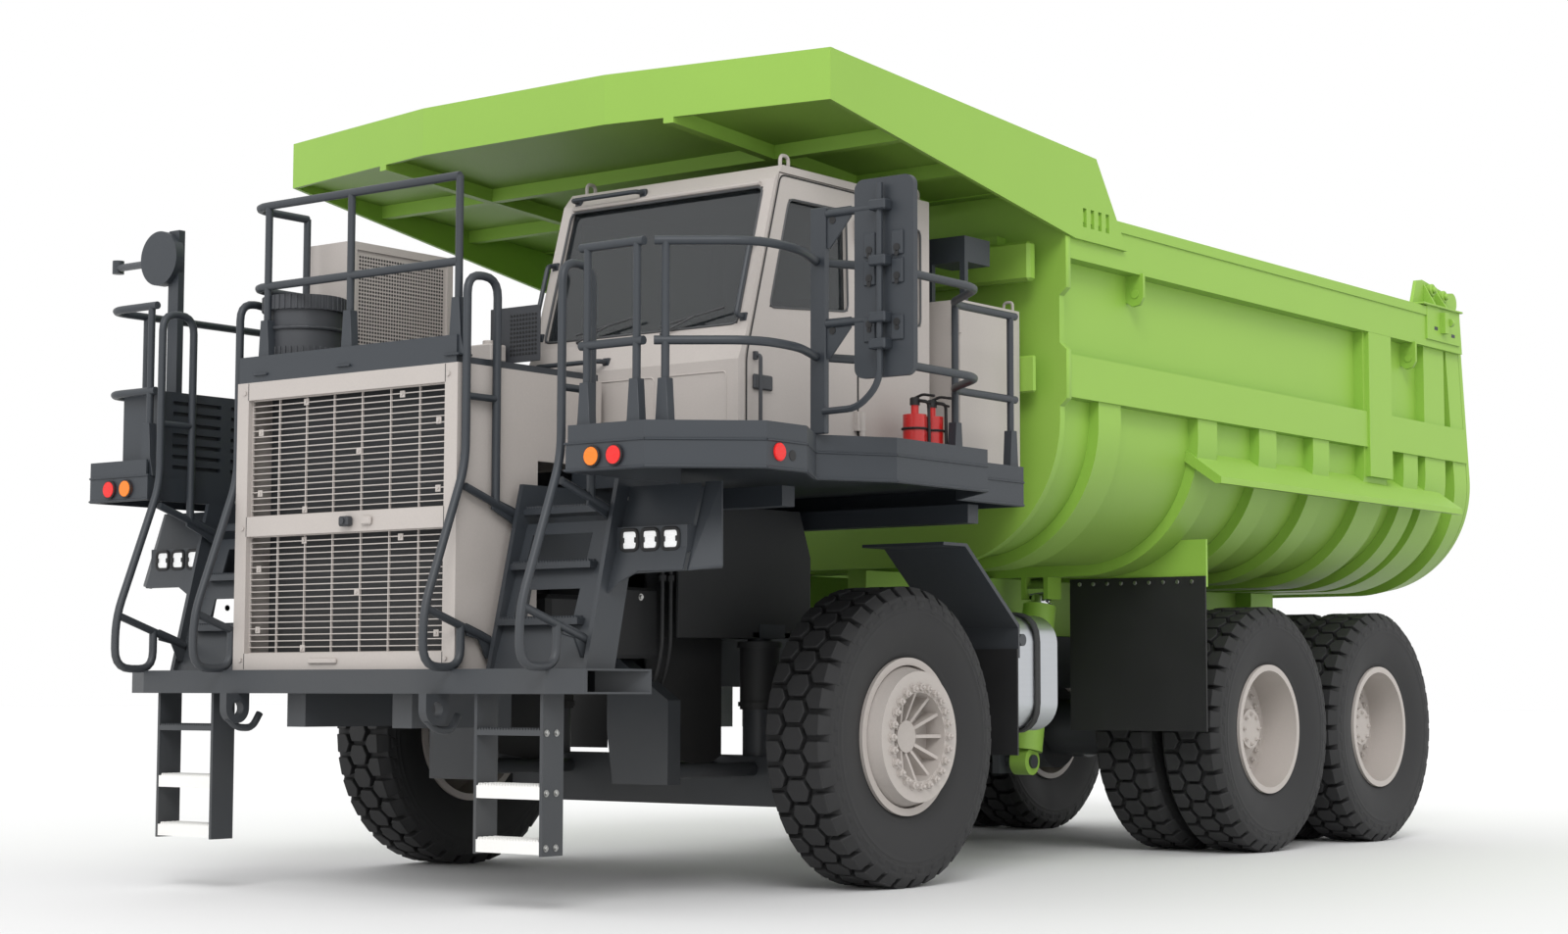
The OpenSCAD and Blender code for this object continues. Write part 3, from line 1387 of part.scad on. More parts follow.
module body_canopy() color(lime) datum() {
    intersection() {
        union() {
            translate([-canopy_half, 0, 0]) rotate([90, 0, 90])
                linear_extrude(2 * canopy_half) canopy_slope(0, canopy_t);
            for (x = canopy_rib_xs)
                translate([x - canopy_rib_t / 2, 0, 0]) rotate([90, 0, 90])
                    linear_extrude(canopy_rib_t) canopy_slope(-canopy_rib_h, canopy_t);
            for (y = canopy_cross_ys)
                slab(
                    [-canopy_half, y, floor_z(y) - canopy_rib_h],
                    [canopy_half, y + canopy_rib_t, floor_z(y)]
                );
        }
        plan_plate(0, canopy_top, concat(canopy_edge, [[canopy_half, board_y], [-canopy_half, board_y]]));
    }
    slab([-canopy_half, board_y - over, board_top], [canopy_half, body_front, board_top + canopy_t]);
    plan_plate(canopy_top - fascia_h, canopy_top, concat(
        canopy_edge, [for (p = reversed(canopy_edge)) [p[0], p[1] + canopy_t]]
    ));
    both_sides() difference() {
        side_plate(canopy_half - canopy_t, canopy_half, [
            [canopy_corner, canopy_top], [canopy_corner, canopy_top - fascia_h],
            [canopy_knee_y, canopy_side_low], [canopy_side_rear, canopy_side_low],
            [canopy_crest_y, canopy_crest_z]
        ]);
        for (i = [1:slots])
            translate([canopy_half, canopy_knee_y + i * slot_pitch, canopy_side_low + slot_up])
                slab([-canopy_t - over, 0, 0], [over, slot_w, slot_h]);
    }
}

// Bearers under the trough with pivot lugs, hoist ears and flap hangers
bearer_front = 1700;
bearer_gap = 6;
bearer_short = 150;
bearer_rear = pivot_y - bearer_short;
lug_gap = 10;
lug_t = 140;
lug_out = rail_out + lug_gap + lug_t;
lug_r = 130;
lug_half = 200;
lug_beam_h = 130;
ear_side_gap = 8;
eye_half = 70;
hoist_ear_t = 40;
hoist_ear_half = 95;
hoist_ear_low = 75;
hanger_plate_t = 25;
flap_clear = 15;
hanger_plate_in = hoist_x + barrel_d / 2 + flap_clear;
hanger_plate_out = 2170;
hanger_plate_low = 1990;
hanger_plate_top = 2340;
body_flap_t = 15;
body_flap_low = 930;
body_flap_top = 2070;
module body_bearers() color(lime) datum() {
    both_sides() {
        slab([rail_in, bearer_front, rail_top + bearer_gap], [rail_out, bearer_rear, rib_low]);
        difference() {
            union() {
                slab(
                    [rail_in, pivot_y - lug_half - lug_gap, rib_low - lug_beam_h],
                    [lug_out, pivot_y + lug_half, rib_low]
                );
                slab([rail_out + lug_gap, pivot_y - lug_r, pivot_z], [lug_out, pivot_y + lug_r, rib_low]);
                x_cyl(rail_out + lug_gap, lug_out, pivot_y, pivot_z, lug_r);
            }
            x_cyl(rail_out, rail_out + pin_reach + over, pivot_y, pivot_z, pivot_d / 2 + run_gap);
        }
        for (x = [hoist_x - eye_half - ear_side_gap - hoist_ear_t, hoist_x + eye_half + ear_side_gap])
            slab(
                [x, hoist_top_y - hoist_ear_half, hoist_top_z - hoist_ear_low],
                [x + hoist_ear_t, hoist_top_y + hoist_ear_half, rib_low]
            );
        cross_plate(hanger_plate_y, hanger_plate_y + hanger_plate_t) difference() {
            translate([hanger_plate_in, hanger_plate_low])
                square([hanger_plate_out - hanger_plate_in, hanger_plate_top - hanger_plate_low]);
            ribbed_shape(seat_gap, trough_top);
        }
    }
}
module body_flaps() color(black) datum() both_sides()
    slab(
        [hanger_plate_in, hanger_plate_y - body_flap_t, body_flap_low],
        [hanger_plate_out, hanger_plate_y, body_flap_top]
    );

// Telescopic hoist cylinders, drawn along +Z from the lower pin
hoist_len = norm([hoist_top_y - hoist_low_y, hoist_top_z - hoist_low_z]);
hoist_lean = atan2(hoist_top_y - hoist_low_y, hoist_top_z - hoist_low_z);
low_eye_r = 100;
top_eye_r = 85;
barrel_foot = 80;
barrel_floor = 25;
stage_wall = 18;
stage_step = 10;
barrel_short = 124;
barrel_r = barrel_d / 2;
// Outer radius of stage n; stage 0 is the barrel
function stage_r(n) = barrel_r - n * (stage_wall + seat_gap);
function stage_top(n) = hoist_len - barrel_short + n * stage_step;
module hoist_frame() datum() both_sides()
    translate([hoist_x, hoist_low_y, hoist_low_z]) rotate([-hoist_lean, 0, 0]) children();
module stage_tube(n) {
    low = barrel_foot + barrel_floor + n * stage_step - stage_step;
    translate([0, 0, low]) difference() {
        cylinder(r = stage_r(n), h = stage_top(n) - low);
        translate([0, 0, stage_step - seat_gap])
            cylinder(r = stage_r(n + 1) + seat_gap, h = stage_top(n));
    }
}
module hoist_barrels() color(lime) hoist_frame() difference() {
    union() {
        translate([0, 0, barrel_foot]) cylinder(r = barrel_r, h = stage_top(0) - barrel_foot);
        translate([-eye_half, 0, 0]) rotate([0, 90, 0]) cylinder(r = low_eye_r, h = 2 * eye_half);
    }
    translate([-eye_half - over, 0, 0]) rotate([0, 90, 0])
        cylinder(r = hoist_pin_r + run_gap, h = 2 * (eye_half + over));
    translate([0, 0, barrel_foot + barrel_floor - seat_gap])
        cylinder(r = stage_r(1) + seat_gap, h = hoist_len);
}
module hoist_stage_1() color("silver") hoist_frame() stage_tube(1);
module hoist_stage_2() color("silver") hoist_frame() stage_tube(2);
module hoist_stage_3() color("silver") hoist_frame() {
    low = barrel_foot + barrel_floor + 2 * stage_step;
    translate([0, 0, low]) cylinder(r = stage_r(3), h = hoist_len - low);
    translate([-eye_half, 0, hoist_len]) rotate([0, 90, 0]) cylinder(r = top_eye_r, h = 2 * eye_half);
}

// The origin lies midway between the front of the hoop rails and the tailgate's foot
front_tip = hoop_low_y - tube_r;
rear_tip = tail_tip + gate_gap + gate_t;
front_axle_y = -(front_tip + rear_tip) / 2;

chassis_frame();
front_bumper();
stairs();
ladder_treads();
stair_hoops();
radiator_housing();
radiator_grilles();
radiator_core();
engine_block();
upper_deck();
deck_rails();
air_cleaner();
cooling_cabinet();
deck_left();
deck_right();
louvre_cabinet();
rear_cabinet();
signal_box();
fire_extinguishers();
headlamps();
red_lamps();
amber_lamps();
cab_shell();
cab_glass();
cab_interior();
mirrors();
side_tanks();
front_fenders();
front_flaps();
front_axle();
suspension();
rear_axles();
cab_door();
door_glass();
knuckle_left();
knuckle_right();
tie_rod();
tyre_front_left();
rim_front_left();
tyre_front_right();
rim_front_right();
tyres_mid_left();
rims_mid_left();
tyres_mid_right();
rims_mid_right();
tyres_rear_left();
rims_rear_left();
tyres_rear_right();
rims_rear_right();
body_trough();
body_headboard();
body_canopy();
body_bearers();
body_flaps();
tailgate();
hoist_barrels();
hoist_stage_1();
hoist_stage_2();
hoist_stage_3();
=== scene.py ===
# %% [markdown]
# # Dressing a mining dump truck
# The packed CAD model holds every sheet, tube and wheel of the truck, in metres, at its real place.
# This lesson gives those solids their paint, rubber and glass, and adds what is too small for CAD:
# tread blocks, wheel nuts, grips, gaskets, clips and lamp rims. Places are counted from the front axle,
# as the CAD model counts them, so every new piece sits on what carries it.

# %% Load the frame
import json
import math

import bmesh
import bpy
from mathutils import Matrix, Vector


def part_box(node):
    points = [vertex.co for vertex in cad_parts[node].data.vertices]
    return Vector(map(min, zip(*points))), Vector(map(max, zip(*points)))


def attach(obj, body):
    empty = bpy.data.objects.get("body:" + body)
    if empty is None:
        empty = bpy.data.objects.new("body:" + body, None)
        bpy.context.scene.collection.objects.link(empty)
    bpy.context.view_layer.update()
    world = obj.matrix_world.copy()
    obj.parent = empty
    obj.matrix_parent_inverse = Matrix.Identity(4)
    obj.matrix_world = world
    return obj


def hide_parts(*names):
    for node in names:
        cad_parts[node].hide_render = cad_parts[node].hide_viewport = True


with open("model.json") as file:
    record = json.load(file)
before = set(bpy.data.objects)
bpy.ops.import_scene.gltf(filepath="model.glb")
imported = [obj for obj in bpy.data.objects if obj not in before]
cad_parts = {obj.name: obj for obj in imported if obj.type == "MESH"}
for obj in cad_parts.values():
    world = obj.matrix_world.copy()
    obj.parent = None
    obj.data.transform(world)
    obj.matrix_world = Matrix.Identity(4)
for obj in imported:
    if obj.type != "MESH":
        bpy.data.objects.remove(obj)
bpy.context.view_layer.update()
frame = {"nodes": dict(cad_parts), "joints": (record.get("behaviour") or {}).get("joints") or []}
joints = {joint["name"]: joint for joint in frame["joints"]}
axle_y = joints["steer_left"]["pos_m"][1]


def at(x, y, z):
    """A point counted from the ground under the front axle, as the CAD model counts."""
    return Vector((x, y + axle_y, z))


# %% [markdown]
# The camera stands where the photographer's stood: low, in front of the truck's left corner, looking a
# little upwards. Its place and turn were solved from points that show in the photograph, so they are
# numbers here, counted from the front axle.

# %% Camera
def show(name, data):
    """A new object of the scene, at the origin."""
    thing = bpy.data.objects.new(name, data)
    bpy.context.scene.collection.objects.link(thing)
    return thing


photo_width, focal_pixels, sensor_width = 1600, 2717.25, 36
yaw, pitch, roll = (math.radians(turn) for turn in (37.578, 4.824, 0.106))
look = Vector((-math.sin(yaw) * math.cos(pitch), math.cos(yaw) * math.cos(pitch), math.sin(pitch)))
level = Vector((math.cos(yaw), math.sin(yaw), 0))
upward = level.cross(look)
across = level * math.cos(roll) + upward * math.sin(roll)
upward = upward * math.cos(roll) - level * math.sin(roll)
camera_data = bpy.data.cameras.new("camera")
camera_data.sensor_width = sensor_width
camera_data.lens = sensor_width * focal_pixels / photo_width
camera_data.clip_end = 500
camera = show("camera", camera_data)
turned = Matrix((across, upward, -look)).transposed().to_4x4()
camera.matrix_world = Matrix.Translation(at(11.648, -13.71, 1.215)) @ turned
bpy.context.scene.camera = camera
print("camera at", [round(c, 2) for c in camera.location], "lens", round(camera_data.lens, 2))

# %% [markdown]
# A studio for a truck is a pale floor, a bright even sky and two large soft lamps. The key lamp is a wide
# sun from the front left, and the sky fills the shadows under the decks.

# %% Floor and light
floor_half = 150
floor_mesh = bpy.data.meshes.new("floor")
floor_corners = [(x * floor_half, y * floor_half, 0) for x, y in ((-1, -1), (1, -1), (1, 1), (-1, 1))]
floor_mesh.from_pydata(floor_corners, [], [(0, 1, 2, 3)])
floor = show("floor", floor_mesh)
floor_finish = bpy.data.materials.new("pale_floor")
floor_finish.use_nodes = True
floor_shader = floor_finish.node_tree.nodes["Principled BSDF"]
floor_shader.inputs["Base Color"].default_value = (0.8, 0.8, 0.8, 1)
floor_shader.inputs["Roughness"].default_value = 0.7
floor_mesh.materials.append(floor_finish)

world = bpy.data.worlds.new("studio")
bpy.context.scene.world = world
world.use_nodes = True
world.node_tree.nodes["Background"].inputs["Color"].default_value = (1, 1, 1, 1)
world.node_tree.nodes["Background"].inputs["Strength"].default_value = 1.0


def sun(name, strength, spread, toward):
    data = bpy.data.lights.new(name, "SUN")
    data.energy = strength
    data.angle = math.radians(spread)
    show(name, data).rotation_euler = Vector(toward).to_track_quat("-Z", "Y").to_euler()


sun("key", 1.3, 25, (-0.55, 0.75, -0.75))
sun("fill", 0.25, 60, (0.5, 0.85, -0.45))
bpy.context.scene.view_settings.view_transform = "Standard"
print("floor, sky and two lamps")

# %% [markdown]
# A finish is a small tree of nodes that ends in the Principled shader. The same few steps come back in each
# one: a noise on Object coordinates, two colours mixed, a value spread over a range, a bump. A class holds
# these steps. What they take is a number, a colour or another node's output.

# %% A class for finishes
def linear(red, green, blue):
    """A colour picked from a screen, 0 to 255, as the linear numbers that shaders use."""
    parts = [c / 255 for c in (red, green, blue)]
    return tuple(c / 12.92 if c <= 0.04045 else ((c + 0.055) / 1.055) ** 2.4 for c in parts) + (1,)


def scaled(colour, amount, lift=0.0):
    """A lighter or darker shade of a colour, no brighter than white."""
    return tuple(min(1, c * amount + lift) for c in colour[:3]) + (1,)


class Finish:
    """A new material, with short ways to add its nodes."""

    def __init__(self, name):
        self.material = bpy.data.materials.new(name)
        self.material.use_nodes = True
        self.tree = self.material.node_tree
        self.place = self.node("ShaderNodeTexCoord").outputs

    def feed(self, sockets, values):
        """Numbers and colours are set on the sockets, outputs are linked to them."""
        for key, value in values.items():
            if isinstance(value, bpy.types.NodeSocket):
                self.tree.links.new(value, sockets[key])
            else:
                sockets[key].default_value = value

    def node(self, kind, values=None, **settings):
        node = self.tree.nodes.new(kind)
        for key, value in settings.items():
            setattr(node, key, value)
        self.feed(node.inputs, values or {})
        return node

    def noise(self, scale, detail, place=None):
        place = self.place["Object"] if place is None else place
        values = {"Vector": place, "Scale": scale, "Detail": detail}
        return self.node("ShaderNodeTexNoise", values).outputs["Fac"]

    def maths(self, operation, *values):
        return self.node("ShaderNodeMath", dict(enumerate(values)), operation=operation).outputs[0]

    def mix(self, share, first, second):
        """Two colours mixed. A Mix node's sockets share their names, so they go by number."""
        return self.node("ShaderNodeMix", {0: share, 6: first, 7: second}, data_type="RGBA").outputs[2]

    def spread(self, value, low, high, start=0.0, end=1.0):
        """A value that runs from start to end, spread over low to high."""
        values = {"Value": value, "From Min": start, "From Max": end, "To Min": low, "To Max": high}
        return self.node("ShaderNodeMapRange", values).outputs[0]

    def upward(self, vector):
        return self.node("ShaderNodeSeparateXYZ", {0: vector}).outputs["Z"]

    def bump(self, height, strength, distance):
        values = {"Height": height, "Strength": strength, "Distance": distance}
        return self.node("ShaderNodeBump", values).outputs["Normal"]

    def done(self, values):
        """The shader takes its values, and the material is ready."""
        self.feed(self.tree.nodes["Principled BSDF"].inputs, values)
        return self.material


print("finishes are made by", [name for name in vars(Finish) if not name.startswith("_")])

# %% [markdown]
# Paint is the truck's main finish: slate on the frame and rails, beige on the cab, housing and rims, lime
# on the dump body. Sprayed paint is never one flat colour. Broad patches are a touch lighter or darker, a
# fine grain breaks the gloss and dust settles low down. A painted shade darkens the lime where it faces the
# ground.
# One function makes all paints, and the patterns read Object coordinates, so they stay on the metal.

# %% Paint
dust_colour = linear(172, 160, 142)
dust_heights, underside_shade_slopes = (0.3, 2.4), (-0.8, 0.1)


def paint(name, colour, rough=0.42, grain=0.06, dust=0.1, coat=0.15, under=0.0):
    finish = Finish(name)
    patches, specks = finish.noise(1.7, 4.0), finish.noise(95.0, 3.0)
    mottle = finish.maths("MULTIPLY_ADD", specks, 0.5, finish.maths("MULTIPLY", patches, 0.5))
    tone = finish.mix(mottle, scaled(colour, 1 - grain * 1.4), scaled(colour, 1 + grain))
    low = finish.spread(finish.upward(finish.place["Object"]), dust, 0.0, *dust_heights)
    dusty = finish.mix(finish.maths("MULTIPLY", low, patches), tone, dust_colour)
    # under darkens faces that look down towards a third of the colour: a painted shade on the undersides.
    shade = finish.spread(finish.upward(finish.place["Normal"]), under, 0.0, *underside_shade_slopes)
    return finish.done({
        "Base Color": finish.mix(shade, dusty, scaled(colour, 0.35)),
        "Roughness": finish.spread(specks, rough - 0.08, rough + 0.1),
        "Normal": finish.bump(specks, 0.06, 0.004),
        "Coat Weight": coat,
        "Coat Roughness": 0.25,
    })


slate = paint("slate_paint", linear(46, 51, 57), rough=0.5, coat=0.05)
beige = paint("beige_paint", linear(180, 173, 168), rough=0.55, grain=0.1, coat=0.05)
# The lime's downward faces take the painted shade.
lime = paint("lime_paint", linear(143, 185, 71), rough=0.55, grain=0.05, coat=0.05, under=0.6)
red = paint("red_paint", linear(196, 30, 28), rough=0.3, coat=0.4)
white = paint("white_tread_paint", linear(238, 238, 236), rough=0.55, dust=0.25)
iron = paint("dark_iron", linear(36, 38, 41), rough=0.6, grain=0.12, coat=0)
print("paints", [m.name for m in (slate, beige, lime, red, white, iron)])

# %% [markdown]
# Rubber is nearly black and dull. The tyres carry a paler bloom in patches and a fine pebble, and the mud
# flaps are smoother sheet rubber. Tanks, rods and bolts are bare metal, with the lines left by drawing.

# %% Rubber, plastic and metal
def dull(name, colour, rough, pebble, bloom):
    finish = Finish(name)
    cloud, grit = finish.noise(3.5, 6.0), finish.noise(150.0, 2.0)
    return finish.done({
        "Base Color": finish.mix(cloud, colour, scaled(colour, 1 + bloom, 0.004 * bloom)),
        "Roughness": finish.spread(cloud, rough - 0.1, rough + 0.1),
        "Normal": finish.bump(grit, pebble, 0.003),
    })


def metal(name, colour, rough, stretch):
    """Bare metal with drawn lines along the axis whose stretch is small."""
    finish = Finish(name)
    lines = finish.node("ShaderNodeMapping", {"Vector": finish.place["Object"], "Scale": stretch})
    streaks = finish.noise(40.0, 4.0, lines.outputs["Vector"])
    return finish.done({
        "Base Color": finish.mix(streaks, scaled(colour, 0.86), colour),
        "Roughness": finish.spread(streaks, rough * 0.7, rough * 1.4),
        "Metallic": 1,
    })


tyre_rubber = dull("tyre_rubber", linear(31, 31, 32), 0.72, 0.12, 0.5)
flap_rubber = dull("flap_rubber", linear(24, 24, 25), 0.6, 0.08, 0.4)
seal = dull("grey_seal", linear(66, 67, 69), 0.5, 0.05, 0.3)
moulding = dull("dark_moulding", linear(52, 54, 58), 0.55, 0.1, 0.3)
tank_metal = metal("tank_aluminium", linear(196, 199, 203), 0.32, (1, 0.06, 1))
bright_rod = metal("bright_rod", linear(214, 216, 220), 0.12, (1, 1, 0.1))
zinc = metal("zinc_bolt", linear(168, 168, 166), 0.35, (1, 1, 1))
print("rubber and metal ready")

# %% [markdown]
# Glass and lamp lenses let light through. The windows are tinted dark, the lamps have ribbed lenses: waves
# in the bump stand for the moulded ribs.

# %% Glass and lenses
def clear(name, colour, rough, through, ribs=0.0, glow=0.0):
    finish = Finish(name)
    values = {
        "Base Color": colour,
        "Roughness": finish.spread(finish.noise(6.0, 3.0), rough, rough + 0.06),
        "Transmission Weight": through,
        "IOR": 1.45,
    }
    if ribs:
        given = {"Vector": finish.place["Object"], "Scale": ribs}
        wave = finish.node("ShaderNodeTexWave", given, bands_direction="Z")
        values["Normal"] = finish.bump(wave.outputs["Fac"], 0.4, 0.003)
    if glow:
        values["Emission Color"], values["Emission Strength"] = colour, glow
    return finish.done(values)


window = clear("tinted_window", linear(92, 98, 102), 0.02, 0.85)
lamp_lens = clear("lamp_lens", linear(250, 250, 250), 0.08, 0.3, ribs=30.0, glow=0.35)
red_lens = clear("red_lens", linear(230, 32, 30), 0.12, 0.25, ribs=45.0, glow=0.25)
amber_lens = clear("amber_lens", linear(246, 128, 24), 0.12, 0.25, ribs=45.0, glow=0.25)
print("glass ready")

# %% [markdown]
# Each CAD node takes its finish by name. What isn't listed is slate, as most of the frame is.

# %% Finishes on the CAD nodes
worn_by = {
    beige: "radiator_housing radiator_grilles cooling_cabinet rear_cabinet cab_shell cab_door",
    lime: "body_trough body_headboard body_canopy body_bearers tailgate hoist_barrels",
    iron: "radiator_core engine_block",
    flap_rubber: "front_flaps body_flaps",
    white: "ladder_treads",
    tank_metal: "side_tanks",
    window: "cab_glass door_glass",
    lamp_lens: "headlamps",
    red_lens: "red_lamps",
    amber_lens: "amber_lamps",
    red: "fire_extinguishers",
    moulding: "cab_interior air_cleaner",
}
finish_of = {node: finish for finish, names in worn_by.items() for node in names.split()}
for name, node in frame["nodes"].items():
    chosen = finish_of.get(name, slate)
    if name.startswith("tyre"):
        chosen = tyre_rubber
    elif name.startswith("rim"):
        chosen = beige
    elif name.startswith("hoist_stage"):
        chosen = bright_rod
    node.data.materials.clear()
    node.data.materials.append(chosen)
print(len(frame["nodes"]), "nodes finished")

# %% [markdown]
# Repeats are made with Geometry Nodes. Two small trees do all of them: one turns copies of a mesh about the
# X axis, as wheel nuts and tread blocks go, and one sets copies along a straight step, as teeth and bolts
# go. Both end in Realize Instances and Set Material, and the result is baked to a plain mesh.

# %% Two trees for repeats
def copies_tree(name, ring):
    tree = bpy.data.node_groups.new(name, "GeometryNodeTree")
    inputs = {"Piece": "Geometry", "Count": "Int", "Finish": "Material"}
    if not ring:
        inputs["Step"] = "Vector"
    for label, kind in inputs.items():
        tree.interface.new_socket(label, in_out="INPUT", socket_type="NodeSocket" + kind)
    tree.interface.new_socket("Result", in_out="OUTPUT", socket_type="NodeSocketGeometry")
    add, link = tree.nodes.new, tree.links.new
    given, result = add("NodeGroupInput"), add("NodeGroupOutput")
    points, number = add("GeometryNodePoints"), add("GeometryNodeInputIndex")
    copies, real = add("GeometryNodeInstanceOnPoints"), add("GeometryNodeRealizeInstances")
    dress = add("GeometryNodeSetMaterial")
    link(given.outputs["Count"], points.inputs["Count"])
    if ring:
        share, turn, spin = add("ShaderNodeMath"), add("ShaderNodeMath"), add("ShaderNodeCombineXYZ")
        share.operation, turn.operation = "DIVIDE", "MULTIPLY"
        link(number.outputs[0], share.inputs[0])
        link(given.outputs["Count"], share.inputs[1])
        link(share.outputs[0], turn.inputs[0])
        turn.inputs[1].default_value = 2 * math.pi
        link(turn.outputs[0], spin.inputs["X"])
        link(spin.outputs[0], copies.inputs["Rotation"])
    else:
        move = add("ShaderNodeVectorMath")
        move.operation = "SCALE"
        link(given.outputs["Step"], move.inputs[0])
        link(number.outputs[0], move.inputs["Scale"])
        link(move.outputs[0], points.inputs["Position"])
    link(points.outputs[0], copies.inputs["Points"])
    link(given.outputs["Piece"], copies.inputs["Instance"])
    link(copies.outputs[0], real.inputs[0])
    link(real.outputs[0], dress.inputs["Geometry"])
    link(given.outputs["Finish"], dress.inputs["Material"])
    link(dress.outputs[0], result.inputs[0])
    return tree


ring_tree, row_tree = copies_tree("turned_copies", True), copies_tree("copies_in_a_row", False)


def bake(mesh, tree, **values):
    """The mesh repeated by a tree, as a new plain mesh."""
    holder = show("repeat", mesh)
    modifier = holder.modifiers.new("repeat", "NODES")
    modifier.node_group = tree
    for item in tree.interface.items_tree:
        if item.in_out == "INPUT" and item.name in values:
            modifier[item.identifier] = values[item.name]
    graph = bpy.context.evaluated_depsgraph_get()
    result = bpy.data.meshes.new_from_object(holder.evaluated_get(graph))
    bpy.data.objects.remove(holder)
    return result


def ring(mesh, count, finish):
    return bake(mesh, ring_tree, Count=count, Finish=finish)


def row(mesh, count, step, finish):
    return bake(mesh, row_tree, Count=count, Step=step, Finish=finish)


print("trees", ring_tree.name, row_tree.name)

# %% [markdown]
# Small shapes come from a handful of mesh helpers. The first ones make solids with worked edges: a bevelled
# block, a plate cut to an outline, and a disc with few or many sides for bolt heads, caps and lenses.

# %% Blocks, plates and discs
def to_mesh(shape):
    mesh = bpy.data.meshes.new("shape")
    bmesh.ops.recalc_face_normals(shape, faces=shape.faces)
    shape.to_mesh(mesh)
    shape.free()
    return mesh


def bevel(shape, edges, offset):
    bmesh.ops.bevel(shape, geom=edges, offset=offset, segments=1, affect="EDGES")


def soften(shape, offset):
    """Outer edges bevelled. Faces are turned outwards first, which tells outer edges from inner ones."""
    bmesh.ops.recalc_face_normals(shape, faces=shape.faces)
    bevel(shape, [edge for edge in shape.edges if edge.is_convex], offset)


def bridge(shape, one, two):
    """Faces between two rings of corners."""
    count = len(one)
    for i in range(count):
        shape.faces.new((one[i], one[(i + 1) % count], two[(i + 1) % count], two[i]))


def prism(shape, one, two):
    """A closed solid between two outlines."""
    bridge(shape, one, two)
    shape.faces.new(one)
    shape.faces.new(two)


def block(low, high, edge=0.003):
    shape = bmesh.new()
    size = Vector(high) - Vector(low)
    bmesh.ops.create_cube(shape, size=1)
    bmesh.ops.scale(shape, vec=size, verts=shape.verts)
    bmesh.ops.translate(shape, vec=Vector(low) + size / 2, verts=shape.verts)
    bevel(shape, shape.edges[:], min(edge, min(size) * 0.4))
    return to_mesh(shape)


def plate(outline, axis, low, high, edge=0.002):
    """A flat outline given in the plane across an axis, made into a plate between two positions on it."""
    shape = bmesh.new()
    place = {
        "X": lambda a, b, c: (c, a, b), "Y": lambda a, b, c: (a, c, b), "Z": lambda a, b, c: (a, b, c)
    }[axis]
    one, two = ([shape.verts.new(place(a, b, c)) for a, b in outline] for c in (low, high))
    prism(shape, one, two)
    if edge:
        soften(shape, edge)
    return to_mesh(shape)


def oblong(low_a, low_b, high_a, high_b):
    """The corners of an upright rectangle, in order."""
    return [(low_a, low_b), (high_a, low_b), (high_a, high_b), (low_a, high_b)]


def disc(radius, height, sides=6, edge=0.15, axis="X"):
    """A bolt head, cap or lens, standing on the origin along an axis."""
    shape = bmesh.new()
    bmesh.ops.create_cone(shape, cap_ends=True, segments=sides, radius1=radius, radius2=radius, depth=height)
    bmesh.ops.translate(shape, vec=(0, 0, height / 2), verts=shape.verts)
    top = [e for e in shape.edges if all(v.co.z > height * 0.99 for v in e.verts)]
    bevel(shape, top, height * edge)
    turn = {"X": Matrix.Rotation(math.pi / 2, 3, "Y"), "Y": Matrix.Rotation(-math.pi / 2, 3, "X")}
    if axis in turn:
        bmesh.ops.transform(shape, matrix=turn[axis].to_4x4(), verts=shape.verts)
    return to_mesh(shape)


print("solid shapes ready")

# %% [markdown]
# Rails, handles and gaskets are bars bent through points, and a tyre's carcass is a profile turned about
# the X axis. A bar keeps one guide direction along its path, so its sides don't twist.

# %% Bars and turned shapes
def rounded(points, bend, steps=5):
    """The points of a path whose corners are bent to a radius, or each to its own."""
    path = [Vector(points[0])]
    bends = bend if isinstance(bend, list) else [bend] * len(points)
    for before, corner, after, wanted in zip(points, points[1:], points[2:], bends):
        corner = Vector(corner)
        a, b = (Vector(before) - corner), (Vector(after) - corner)
        cut = min(wanted, a.length * 0.45, b.length * 0.45)
        first, last = corner + a.normalized() * cut, corner + b.normalized() * cut
        for i in range(steps + 1):
            t = i / steps
            path.append(first * (1 - t) ** 2 + corner * 2 * t * (1 - t) + last * t**2)
    return path + [Vector(points[-1])]


def bar(points, radius, bend=0.05, sides=10):
    """A round bar bent through points, with closed ends."""
    path = rounded(points, bend) if len(points) > 2 else [Vector(p) for p in points]
    shape = bmesh.new()
    rings, guide = [], None
    turns = [2 * math.pi * k / sides for k in range(sides)]
    for i, point in enumerate(path):
        way = (path[min(i + 1, len(path) - 1)] - path[max(i - 1, 0)]).normalized()
        if guide is None:
            guide = way.orthogonal().normalized()
        guide = (guide - way * guide.dot(way)).normalized()
        other = way.cross(guide)
        corners = [point + (guide * math.cos(t) + other * math.sin(t)) * radius for t in turns]
        rings.append([shape.verts.new(corner) for corner in corners])
    for one, two in zip(rings, rings[1:]):
        bridge(shape, one, two)
    shape.faces.new(rings[0])
    shape.faces.new(rings[-1])
    return to_mesh(shape)


def loop(points, radius, bend=0.04, sides=8):
    """A bar bent through points and back to the first one, starting in the middle of a side."""
    start = (Vector(points[0]) + Vector(points[-1])) / 2
    return bar([start, *points, start], radius, bend, sides)


def once_round(radius, steps=24):
    """Points round a circle, the last one on the first."""
    turns = [2 * math.pi * i / steps for i in range(steps + 1)]
    return [(radius * math.cos(t), radius * math.sin(t)) for t in turns]


def turned_shape(profile, sides):
    """A closed profile of (x, radius) points, turned about the X axis."""
    shape = bmesh.new()
    rings = []
    for k in range(sides):
        t = 2 * math.pi * k / sides
        rings.append([shape.verts.new((x, r * math.cos(t), r * math.sin(t))) for x, r in profile])
    for k in range(sides):
        bridge(shape, rings[k], rings[(k + 1) % sides])
    return to_mesh(shape)


print("bars and turned shapes ready")

